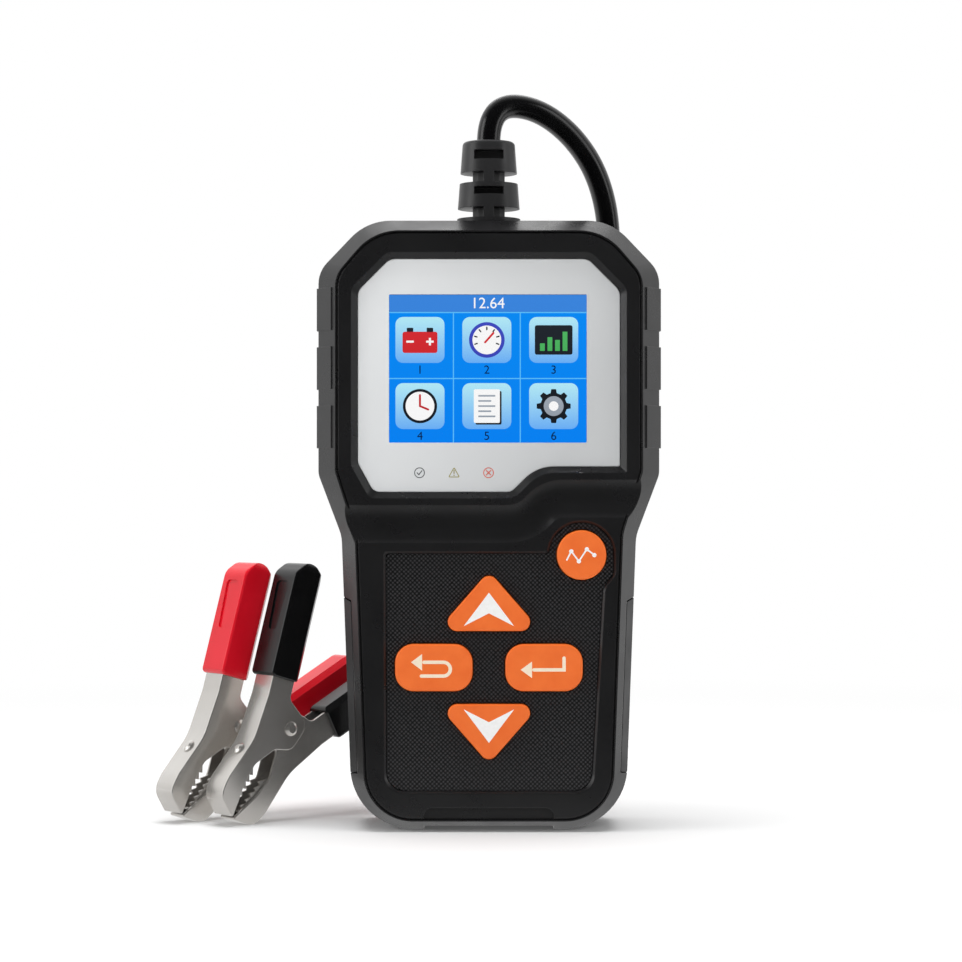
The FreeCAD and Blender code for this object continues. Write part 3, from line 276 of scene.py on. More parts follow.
@dataclass(frozen=True)
class Silicone(Finish):
    """Moulded silicone: even colour, dull sheen, slight skin of dust."""

    roughness: tuple[float, float] = (0.4, 0.52)

    def paint(self, tree: Tree, shader: Node) -> None:
        """Fills in the shader."""
        self.mottle(tree, shader, 5, 3.0, (0.3, 0.7))
        roughen(tree, shader, 1.5, *self.roughness)
        emboss(tree, shader, cloud(tree, 0.4, 2.0), 0.01, 0.25, 0.2)
        settle(shader, {"IOR": 1.43})


@dataclass(frozen=True)
class GlossPvc(Finish):
    """Extruded or dipped PVC: wet-looking gloss over slight ripples."""

    roughness: tuple[float, float] = (0.2, 0.32)
    ripple_mm: float = 2.2

    def paint(self, tree: Tree, shader: Node) -> None:
        """Fills in the shader."""
        self.mottle(tree, shader, 9)
        roughen(tree, shader, 9.0, *self.roughness)
        emboss(tree, shader, cloud(tree, self.ripple_mm, 0.0), 0.02, 0.2)
        settle(shader, {"IOR": 1.53})


@dataclass(frozen=True)
class PlatedSteel(Finish):
    """Plated steel: bright, with soft smudges in its shine."""

    roughness: tuple[float, float] = (0.26, 0.31)
    metallic: float = 0.66

    def paint(self, tree: Tree, shader: Node) -> None:
        """Fills in the shader."""
        self.mottle(tree, shader, 12)
        settle(shader, {"Metallic": self.metallic})
        roughen(tree, shader, 18.0, *self.roughness)


@dataclass(frozen=True)
class PaintedAcrylic(Finish):
    """Acrylic sheet painted on its back, under deep gloss: its colour carries painted light, lighter towards
    the upper left and fading to painted shade at the lower right.
    """

    low_mm: float = 32.0
    high_mm: float = 96.0
    # The way towards the painted light, which lies at the upper left.
    painted_light_way: Point3 = (-0.88, 0.0, 0.47)

    def paint(self, tree: Tree, shader: Node) -> None:
        """Fills in the shader."""
        # Painted light and shade: the colour grows lighter towards the upper left.
        slant = add_node(tree, "ShaderNodeVectorMath", {
            0: place(tree), 1: self.painted_light_way}, operation="DOT_PRODUCT")
        self.tint(tree, shader.inputs["Base Color"], slant.outputs["Value"],
                  (self.low_mm * MM, self.high_mm * MM))
        roughen(tree, shader, 8.0, 0.09, 0.14)
        settle(shader, {"IOR": 1.49, "Coat Weight": 0.6, "Coat Roughness": 0.05})


@dataclass(frozen=True)
class ClearAcrylic(Finish):
    """Clear polished acrylic over the screen."""

    def paint(self, tree: Tree, shader: Node) -> None:
        """Fills in the shader."""
        settle(shader, {"Base Color": linear(self.high), "Transmission Weight": 1.0, "IOR": 1.49})
        roughen(tree, shader, 10.0, 0.0, 0.02)


@dataclass(frozen=True)
class LitInk(Finish):
    """Part of a backlit screen: a colour that shines evenly, shaded from bottom to top."""

    low_mm: float = 113.0
    high_mm: float = 157.0

    def paint(self, tree: Tree, shader: Node) -> None:
        """Fills in the shader."""
        split = add_node(tree, "ShaderNodeSeparateXYZ", {"Vector": place(tree)})
        self.tint(tree, shader.inputs["Emission Color"], self.rise(tree, split.outputs["Z"]),
                  (self.low_mm * MM, self.high_mm * MM))
        settle(shader, {"Base Color": linear("000000"), "Specular IOR Level": 0.0,
                        "Emission Strength": 1.0, "Roughness": 0.6})

    def rise(self, tree: Tree, height: Socket) -> Socket:
        """The height that the shading follows."""
        return height


@dataclass(frozen=True)
class LitTile(LitInk):
    """Backlit tiles in rows, each shaded from its own lower edge up."""

    pitch_mm: float = 19.3

    def rise(self, tree: Tree, height: Socket) -> Socket:
        """The height above a row's lower edge, the same for every row."""
        start = (self.low_mm - 1) * MM
        wrap = add_node(tree, "ShaderNodeMath", {
            0: height, 1: start + self.pitch_mm * MM, 2: start}, operation="WRAP")
        return wrap.outputs["Value"]


@dataclass(frozen=True)
class PrintedInk(Finish):
    """Screen-printed ink, a little uneven."""

    def paint(self, tree: Tree, shader: Node) -> None:
        """Fills in the shader."""
        self.mottle(tree, shader, 1.2, 3.0, (0.3, 0.7))
        roughen(tree, shader, 1.0, 0.35, 0.5)


@dataclass(frozen=True)
class StudioPaper(Finish):
    """Seamless white paper: it keeps the shadow near the object and is plain white further off."""

    near: float = 0.22
    far: float = 0.6
    lift: float = 0.06
    # In mirrors the paper is dim in front of the object and white behind it.
    mirror_span: Point2 = (-0.16, 0.1)
    mirror_least: float = 0.03

    def paint(self, tree: Tree, shader: Node) -> None:
        """Fills in the shader."""
        path = add_node(tree, "ShaderNodeLightPath")
        shown = add_node(tree, "ShaderNodeMath", {
            0: path.outputs["Is Camera Ray"], 1: path.outputs["Is Transmission Ray"]}, operation="MAXIMUM")
        span = add_node(tree, "ShaderNodeVectorMath", {0: place(tree)}, operation="LENGTH")
        away = add_node(tree, "ShaderNodeMapRange", {
            "Value": span.outputs["Value"], "From Min": self.near, "From Max": self.far},
            interpolation_type="SMOOTHSTEP")
        plain = add_node(tree, "ShaderNodeMath", {
            0: away.outputs["Result"], 1: shown.outputs["Value"]}, operation="MULTIPLY")
        lifted = add_node(tree, "ShaderNodeMath", {
            0: shown.outputs["Value"], 1: self.lift}, operation="MULTIPLY")
        settle(shader, {"Base Color": linear(self.low), "Roughness": 0.9, "Specular IOR Level": 0.0,
                        "Emission Color": linear(self.high)})
        tree.links.new(lifted.outputs["Value"], shader.inputs["Emission Strength"])
        white = add_node(tree, "ShaderNodeEmission", {"Color": linear(self.high), "Strength": 1.0})
        blend = add_node(tree, "ShaderNodeMixShader", {
            0: plain.outputs["Value"], 1: shader.outputs["BSDF"], 2: white.outputs["Emission"]})
        depth = add_node(tree, "ShaderNodeSeparateXYZ", {"Vector": place(tree)})
        dim = add_node(tree, "ShaderNodeMapRange", {
            "Value": depth.outputs["Y"], "From Min": self.mirror_span[0], "From Max": self.mirror_span[1],
            "To Min": self.mirror_least, "To Max": 1.0}, interpolation_type="SMOOTHSTEP")
        mirrored = add_node(tree, "ShaderNodeEmission", {
            "Color": linear(self.high), "Strength": dim.outputs["Result"]})
        surface = add_node(tree, "ShaderNodeMixShader", {
            0: path.outputs["Is Glossy Ray"], 1: blend.outputs["Shader"], 2: mirrored.outputs["Emission"]})
        tree.links.new(surface.outputs["Shader"], tree.nodes["Material Output"].inputs["Surface"])


# Black ABS: a soft, even sheen on the flats and a thin bright line on each moulded edge.
CASE = MouldedPlastic("moulded_abs_black", "1a1a1b", "202021", 1.2, 0.012, (0.26, 0.34), edge_mm=0.45)
# Grey-black TPE: duller than the case, so the grips read as rubber.
GRIP = MouldedPlastic("moulded_tpe_grip", "242425", "2c2c2d", 0.6, 0.03, (0.38, 0.5))
# Soft PVC of the cable's boot: slightly lighter than the cable and never shiny.
BOOT = MouldedPlastic("moulded_pvc_boot", "252526", "2e2e2f", 0.5, 0.02, (0.34, 0.44))
# Textured inlay: rows of fine dots, drawn a little coarser than real so that they show from a step away; the
# light dot tops and the dark hollows between them are painted light and shade.
INLAY = WovenInlay("textured_abs_inlay", "444446", "020203")
# Orange silicone: a flat strong colour that makes the keys the first thing seen.
KEY = Silicone("silicone_orange", "f46e27", "fa772e")
# Cream and white inks: matte prints, brighter than the keys under them.
LEGEND = PrintedInk("printed_cream_legend", "fbe8cc", "fff0d8")
LEGEND_WHITE = PrintedInk("printed_white_legend", "f8f8f6", "ffffff")
# Lens border: pale grey paint behind gloss, with painted light that makes it lighter at the upper left and
# painted shade towards the lower right.
LENS = PaintedAcrylic("back_painted_acrylic", "cfd1d2", "f1f3f4")
# Clear window: only its reflections show.
WINDOW = ClearAcrylic("clear_acrylic")
# Cable: near black with a wet-looking streak along it.
CABLE = GlossPvc("extruded_pvc_black", "060607", "09090a", (0.18, 0.26))
# Sleeves and leads: saturated red and deep black, with broad soft highlights.
RED_PVC = GlossPvc("dipped_pvc_red", "da1022", "e6162a", (0.18, 0.26), 6.0)
BLACK_PVC = GlossPvc("dipped_pvc_black", "0c0c0d", "101011", (0.18, 0.26), 6.0)
# Jaws: warm bright plating that carries the room's light and dark.
NICKEL = PlatedSteel("nickel_plated_steel", "cdc9c3", "dedbd7", (0.2, 0.27), 0.8)
# Springs and screws: darker steels that sit back in the shade.
SPRING_STEEL = PlatedSteel("drawn_spring_steel", "767471", "8f8d8a")
SCREW_STEEL = PlatedSteel("black_zinc_steel", "353537", "4a4a4c")
# Circuit board: green laminate, seen only when the case is opened.
BOARD = MouldedPlastic("green_laminate", "0c3a1e", "11482a", 1.2, 0.01)
# Dark glass round the lit part of the screen.
GLASS_BLACK = MouldedPlastic("panel_glass_black", "07080a", "0b0c0e", 2.0, 0.002, (0.08, 0.14))
# Lit colours of the screen: they shine evenly and take no light from the room.
SCREEN_BLUE = LitInk("lit_blue", "0384f8", "048efa")
SCREEN_HEADER = LitInk("lit_header", "3480de", "3c88e2")
SCREEN_LINE = LitInk("lit_line", "5fc4ff", "5fc4ff")
SCREEN_WHITE = LitInk("lit_white", "ffffff", "ffffff")
SCREEN_NAVY = LitInk("lit_navy", "061638", "061638")
SCREEN_BLACK = LitInk("lit_black", "14181e", "242a32")
SCREEN_RED = LitInk("lit_red", "b8141c", "e2333a")
SCREEN_INDIGO = LitInk("lit_indigo", "3038a8", "4450c8")
SCREEN_GREEN = LitInk("lit_green", "2f9a4a", "58c06a")
SCREEN_GREY = LitInk("lit_grey", "8d97a4", "c2cad4")
# Printed marks over the indicator lights: thin lines, a little uneven.
INK_GREY = PrintedInk("printed_grey", "3f4247", "4a4d52")
INK_OLIVE = PrintedInk("printed_olive", "8f8730", "a39a3c")
INK_ORANGE = PrintedInk("printed_vermilion", "d2451f", "e2552e")


def dress(thing: Object, finish: Finish) -> Object:
    """Gives an object one finish.

    Args:
        thing: A mesh or curve object.
        finish: The finish.

    Returns:
        The same object.
    """
    thing.data.materials.clear()
    thing.data.materials.append(finish.material())
    return thing


def link(name: str, data: bpy.types.ID) -> Object:
    """Puts an object with that data into the scene."""
    thing = bpy.data.objects.new(name, data)
    bpy.context.scene.collection.objects.link(thing)
    return thing


def link_mesh(name: str, mesh: bmesh.types.BMesh) -> Object:
    """Puts a finished mesh into the scene."""
    data = bpy.data.meshes.new(name)
    mesh.to_mesh(data)
    mesh.free()
    return link(name, data)


def attach(thing: Object, finish: Finish, body: str) -> Object:
    """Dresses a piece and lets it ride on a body.

    Args:
        thing: The piece.
        finish: Its finish.
        body: The CAD body that carries it.

    Returns:
        The same piece.
    """
    dress(thing, finish)
    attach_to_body(thing, body)
    LOG.info("%s rides on %s", thing.name, body)
    return thing


def rounded(corners: Sequence[Point2], radius: float, steps: int = 6) -> Outline:
    """Rounds the corners of a polygon.

    Args:
        corners: Corner points, counter-clockwise or clockwise.
        radius: Radius of every corner.
        steps: Points in each corner.

    Returns:
        The rounded outline.
    """
    outline: Outline = []
    count = len(corners)
    for i, spot in enumerate(corners):
        here = Vector(spot)
        back = (Vector(corners[i - 1]) - here).normalized()
        ahead = (Vector(corners[(i + 1) % count]) - here).normalized()
        half = back.angle(ahead) / 2
        reach = radius / math.tan(half)
        start, end = here + back * reach, here + ahead * reach
        centre = here + (back + ahead).normalized() * (radius / math.sin(half))
        first, last = start - centre, end - centre
        sweep = first.angle_signed(last)
        for k in range(steps + 1):
            turn = Matrix.Rotation(-sweep * k / steps, 2)
            outline.append(tuple(centre + turn @ first))
    return outline


def rectangle(x: float, z: float, width: float, height: float, radius: float) -> Outline:
    """The outline of a rounded rectangle about a centre."""
    sides = ((1, -1), (1, 1), (-1, 1), (-1, -1))
    return rounded([(x + i * width / 2, z + k * height / 2) for i, k in sides], radius)


def disc(x: float, z: float, radius: float, steps: int = 40) -> Outline:
    """The outline of a circle."""
    turns = [2 * math.pi * k / steps for k in range(steps)]
    return [(x + radius * math.cos(t), z + radius * math.sin(t)) for t in turns]


def stroke(points: Sequence[Point2], width: float) -> Outline:
    """The outline of a line of even width with mitred turns and round ends.

    Args:
        points: The line's points.
        width: Its width.

    Returns:
        One closed outline.
    """
    line = [Vector(p) for p in points]
    runs = [(b - a).normalized() for a, b in zip(line, line[1:])]
    half = width / 2
    left, right = [], []
    for i, here in enumerate(line):
        before, after = runs[max(i - 1, 0)], runs[min(i, len(runs) - 1)]
        across = (before + after).normalized()
        side = Vector((-across.y, across.x))
        reach = half / max(side.dot(Vector((-after.y, after.x))), 0.35)
        left.append(here + side * reach)
        right.append(here - side * reach)
    head = math.atan2(runs[-1].y, runs[-1].x)
    tail = math.atan2(runs[0].y, runs[0].x)
    turns = [math.pi / 2 - math.pi * k / 8 for k in range(1, 8)]
    tip = [line[-1] + Vector((math.cos(head + t), math.sin(head + t))) * half for t in turns]
    end = [line[0] - Vector((math.cos(tail + t), math.sin(tail + t))) * half for t in turns]
    return [tuple(p) for p in (*left, *tip, *right[::-1], *end)]


def ring(outline: Sequence[Point2], width: float) -> list[Outline]:
    """A closed line along an outline, as short straight pieces.

    Args:
        outline: The outer edge, counter-clockwise.
        width: The line's width, inwards.

    Returns:
        One outline for each piece.
    """
    spots = [Vector(p) for p in outline]
    inner = []
    for before, here, after in zip([spots[-1], *spots], spots, [*spots[1:], spots[0]]):
        way = ((here - before).normalized() + (after - here).normalized()).normalized()
        turn = max(math.cos(((here - before).angle(after - here)) / 2), 0.3)
        inner.append(here + Vector((-way.y, way.x)) * width / turn)
    count = len(spots)
    return [[tuple(p) for p in (spots[i], spots[(i + 1) % count], inner[(i + 1) % count], inner[i])]
            for i in range(count)]


def plate(name: str, outlines: Sequence[Outline], front_mm: float, thickness_mm: float) -> Object:
    """Flat shapes that face the reader, drawn in millimetres.

    Args:
        name: The piece's name.
        outlines: Closed outlines as x and z.
        front_mm: How far their front is before the middle plane.
        thickness_mm: How thick they are.

    Returns:
        The new piece.
    """
    mesh = bmesh.new()
    for outline in outlines:
        area = sum(p[0] * q[1] - q[0] * p[1] for p, q in zip(outline, [*outline[1:], outline[0]]))
        loop = outline if area > 0 else outline[::-1]
        front = [mesh.verts.new((x * MM, -front_mm * MM, z * MM)) for x, z in loop]
        back = [mesh.verts.new((x * MM, -(front_mm - thickness_mm) * MM, z * MM)) for x, z in loop]
        mesh.faces.new(front)
        mesh.faces.new(back[::-1])
        for i, vertex in enumerate(front):
            k = (i + 1) % len(front)
            mesh.faces.new((vertex, back[i], back[k], front[k]))
    return link_mesh(name, mesh)


def standing(x: float, z: float, front_mm: float) -> Matrix:
    """Stands a flat drawing up so that it faces the reader, about a centre in millimetres."""
    return Matrix.Translation((x * MM, -front_mm * MM, z * MM)) @ Matrix.Rotation(math.pi / 2, 4, "X")


def words(name: str, text: str, x: float, z: float, height_mm: float, front_mm: float) -> Object:
    """Raised figures that face the reader.

    Args:
        name: The piece's name.
        text: The figures.
        x: Centre, in millimetres.
        z: Centre, in millimetres.
        height_mm: Height of a figure.
        front_mm: How far their front is before the middle plane.

    Returns:
        The new piece, as a mesh.
    """
    curve = bpy.data.curves.new(name, "FONT")
    curve.body = text
    curve.align_x, curve.align_y = "CENTER", "CENTER"
    curve.size = height_mm * MM * FONT_SIZE
    curve.extrude = FIGURE_DEPTH * MM
    holder = link(name + "_text", curve)
    bpy.context.view_layer.update()
    data = bpy.data.meshes.new_from_object(holder.evaluated_get(bpy.context.evaluated_depsgraph_get()))
    bpy.data.objects.remove(holder)
    data.transform(standing(x, z, front_mm))
    return link(name, data)


def merged_copy(name: str, node: str) -> Object:
    """A copy of a CAD node's mesh with its corners joined."""
    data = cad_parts[node].data.copy()
    mesh = bmesh.new()
    mesh.from_mesh(data)
    bmesh.ops.remove_doubles(mesh, verts=mesh.verts, dist=1e-6)
    mesh.to_mesh(data)
    mesh.free()
    return link(name, data)


def baked(thing: Object) -> Object:
    """Turns an object's modifiers into plain mesh."""
    bpy.context.view_layer.update()
    shown = thing.evaluated_get(bpy.context.evaluated_depsgraph_get())
    data = bpy.data.meshes.new_from_object(shown)
    thing.modifiers.clear()
    thing.data = data
    return thing


@dataclass
class TileField:
    """A field of rounded tiles on the screen, laid out by a node tree."""

    name: str
    centre: Point2
    columns: int
    rows: int
    pitch: Point2
    tile: Point2
    corner_mm: float
    front_mm: float

    def sizes(self) -> dict[str, float]:
        """The tree's named inputs, in millimetres."""
        return {"Span X": (self.columns - 1) * self.pitch[0], "Span Z": (self.rows - 1) * self.pitch[1],
                "Tile Width": self.tile[0], "Tile Height": self.tile[1], "Corner": self.corner_mm}

    def tree(self, finish: Finish) -> Tree:
        """Builds the node tree.

        Args:
            finish: The tiles' finish.

        Returns:
            The tree, with named inputs for its sizes.
        """
        tree = bpy.data.node_groups.new(self.name, "GeometryNodeTree")
        tree.interface.new_socket("Geometry", in_out="OUTPUT", socket_type="NodeSocketGeometry")
        for label in self.sizes():
            tree.interface.new_socket(label, in_out="INPUT", socket_type="NodeSocketFloat")
        given = add_node(tree, "NodeGroupInput")
        spots = add_node(tree, "GeometryNodeMeshGrid", {
            "Size X": given.outputs["Span X"], "Size Y": given.outputs["Span Z"],
            "Vertices X": self.columns, "Vertices Y": self.rows})
        outline = add_node(tree, "GeometryNodeCurvePrimitiveQuadrilateral", {
            "Width": given.outputs["Tile Width"], "Height": given.outputs["Tile Height"]})
        soft = add_node(tree, "GeometryNodeFilletCurve", {
            "Curve": outline.outputs["Curve"], "Radius": given.outputs["Corner"], "Count": 6}, mode="POLY")
        face = add_node(tree, "GeometryNodeFillCurve", {"Curve": soft.outputs["Curve"]}, mode="NGONS")
        tiles = add_node(tree, "GeometryNodeInstanceOnPoints", {
            "Points": spots.outputs["Mesh"], "Instance": face.outputs["Mesh"]})
        real = add_node(tree, "GeometryNodeRealizeInstances", {"Geometry": tiles.outputs["Instances"]})
        coated = add_node(tree, "GeometryNodeSetMaterial", {
            "Geometry": real.outputs["Geometry"], "Material": finish.material()})
        add_node(tree, "NodeGroupOutput", {"Geometry": coated.outputs["Geometry"]})
        return tree

    def build(self, finish: Finish) -> Object:
        """Makes the tiles as one plain mesh facing the reader.

        Args:
            finish: The tiles' finish.

        Returns:
            The piece.
        """
        thing = link(self.name, bpy.data.meshes.new(self.name))
        modifier = thing.modifiers.new("tiles", "NODES")
        modifier.node_group = self.tree(finish)
        sizes = self.sizes()
        for socket in modifier.node_group.interface.items_tree:
            if socket.name in sizes:
                modifier[socket.identifier] = sizes[socket.name] * MM
        baked(thing)
        thing.data.transform(standing(*self.centre, self.front_mm))
        return thing


@dataclass
class Studio:
    """Floor, lamps and camera."""

    camera_at: Point3 = (-2.3, -767.0, 102.1)
    lens: float = 96.6
    sensor: float = 36.0
    floor_half: float = 3.0
    # Lamps that light the object but show in no mirror.
    unseen: tuple[str, ...] = ("front_box", "top_box")
    # In mirrors the room is dim on the reader's side and white behind the object.
    mirror_span: Point2 = (-0.35, 0.55)
    mirror_least: float = 0.03
    room_light: float = 0.3

    def build(self) -> None:
        """Makes the floor, the lamps, the world and the camera."""
        self.floor()
        self.lamps()
        self.world()
        self.camera()

    def floor(self) -> None:
        """Lays the paper the tester stands on."""
        mesh = bmesh.new()
        sides = ((-1, -1), (1, -1), (1, 1), (-1, 1))
        mesh.faces.new([mesh.verts.new((x * self.floor_half, y * self.floor_half, 0.0)) for x, y in sides])
        dress(link_mesh("paper_floor", mesh), StudioPaper("seamless_paper", "e6e6e6"))

    def lamps(self) -> None:
        """Hangs the soft boxes."""
        # Name, place, height of the point it is aimed at, width and height, all in metres, and watts.
        self.lamp("top_box", (0.0, 0.0, 1.15), 0.1, (0.9, 0.7), 13.0)
        self.lamp("left_box", (-1.0, -0.25, 0.45), 0.1, (0.5, 0.9), 3.2)
        self.lamp("right_box", (1.0, -0.3, 0.4), 0.1, (0.3, 0.8), 1.3)
        self.lamp("front_box", (0.35, -1.4, 0.9), 0.1, (0.8, 0.6), 5.0)
        self.lamp("rim_box", (0.0, 0.8, 0.95), 0.15, (0.9, 0.16), 0.85)

    def lamp(self, name: str, where: Point3, aim: float, size: Point2, power: float) -> None:
        """Hangs one soft box.

        Args:
            name: The lamp's name.
            where: Its place, in metres.
            aim: The height of the point above the origin that it faces.
            size: Width and height, in metres.
            power: Its power, in watts.
        """
        light = bpy.data.lights.new(name, "AREA")
        light.shape = "RECTANGLE"
        light.size, light.size_y = size
        light.energy = power
        holder = link(name, light)
        holder.location = where
        holder.rotation_euler = (Vector((0.0, 0.0, aim)) - Vector(where)).to_track_quat("-Z", "Y").to_euler()
        holder.visible_glossy = name not in self.unseen

    def world(self) -> None:
        """Surrounds the stage with white, dimmer on the reader's side of the room."""
        world = bpy.data.worlds.new("white_room")
        bpy.context.scene.world = world
        world.use_nodes = True
        tree = world.node_tree
        tree.nodes.clear()
        path = add_node(tree, "ShaderNodeLightPath")
        way = add_node(tree, "ShaderNodeTexCoord").outputs["Generated"]
        depth = add_node(tree, "ShaderNodeSeparateXYZ", {"Vector": way})
        mirrored = add_node(tree, "ShaderNodeMapRange", {
            "Value": depth.outputs["Y"], "From Min": self.mirror_span[0], "From Max": self.mirror_span[1],
            "To Min": self.mirror_least, "To Max": 1.0}, interpolation_type="SMOOTHSTEP")
        through = add_node(tree, "ShaderNodeMath", {
            0: path.outputs["Is Camera Ray"], 1: path.outputs["Is Transmission Ray"]}, operation="MAXIMUM")
        bare = add_node(tree, "ShaderNodeMapRange", {
            "Value": through.outputs["Value"], "To Min": self.room_light, "To Max": 1.0})
        level = add_node(tree, "ShaderNodeMix", {
            0: path.outputs["Is Glossy Ray"], 2: bare.outputs["Result"], 3: mirrored.outputs["Result"]})
        glow = add_node(tree, "ShaderNodeBackground", {
            "Color": linear("ffffff"), "Strength": level.outputs[0]})
        add_node(tree, "ShaderNodeOutputWorld", {"Surface": glow.outputs["Background"]})

    def camera(self) -> None:
        """Sets the camera level with the middle of the case."""
        eye = bpy.data.cameras.new("camera")
        eye.lens = self.lens
        eye.sensor_width = self.sensor
        eye.sensor_fit = "HORIZONTAL"
        eye.clip_start, eye.clip_end = 0.01, 20.0
        holder = link("camera", eye)
        holder.location = Vector(self.camera_at) * MM
        holder.rotation_euler = (math.pi / 2, 0, 0)
        bpy.context.scene.camera = holder


@dataclass
class Case:
    """Housings, grips, screws and boot: solids that only need their finish."""

    finishes: dict[str, Finish] = field(default_factory=lambda: {
        "front_housing": CASE, "rear_housing": CASE, "side_grip_left": GRIP, "side_grip_right": GRIP,
        "strain_relief": BOOT, "main_board": BOARD, "buzzer": CASE, "keypad_panel": INLAY,
        "lcd_module": GLASS_BLACK})

    def dress(self) -> None:
        """Gives every solid of the case its finish."""
        for node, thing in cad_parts.items():
            if node in self.finishes:
                dress(thing, self.finishes[node])
            elif node.startswith("case_screw"):
                dress(thing, SCREW_STEEL)
            elif node.endswith("_switch"):
                dress(thing, CASE)
            elif node.startswith("indicator_light"):
                dress(thing, WINDOW)


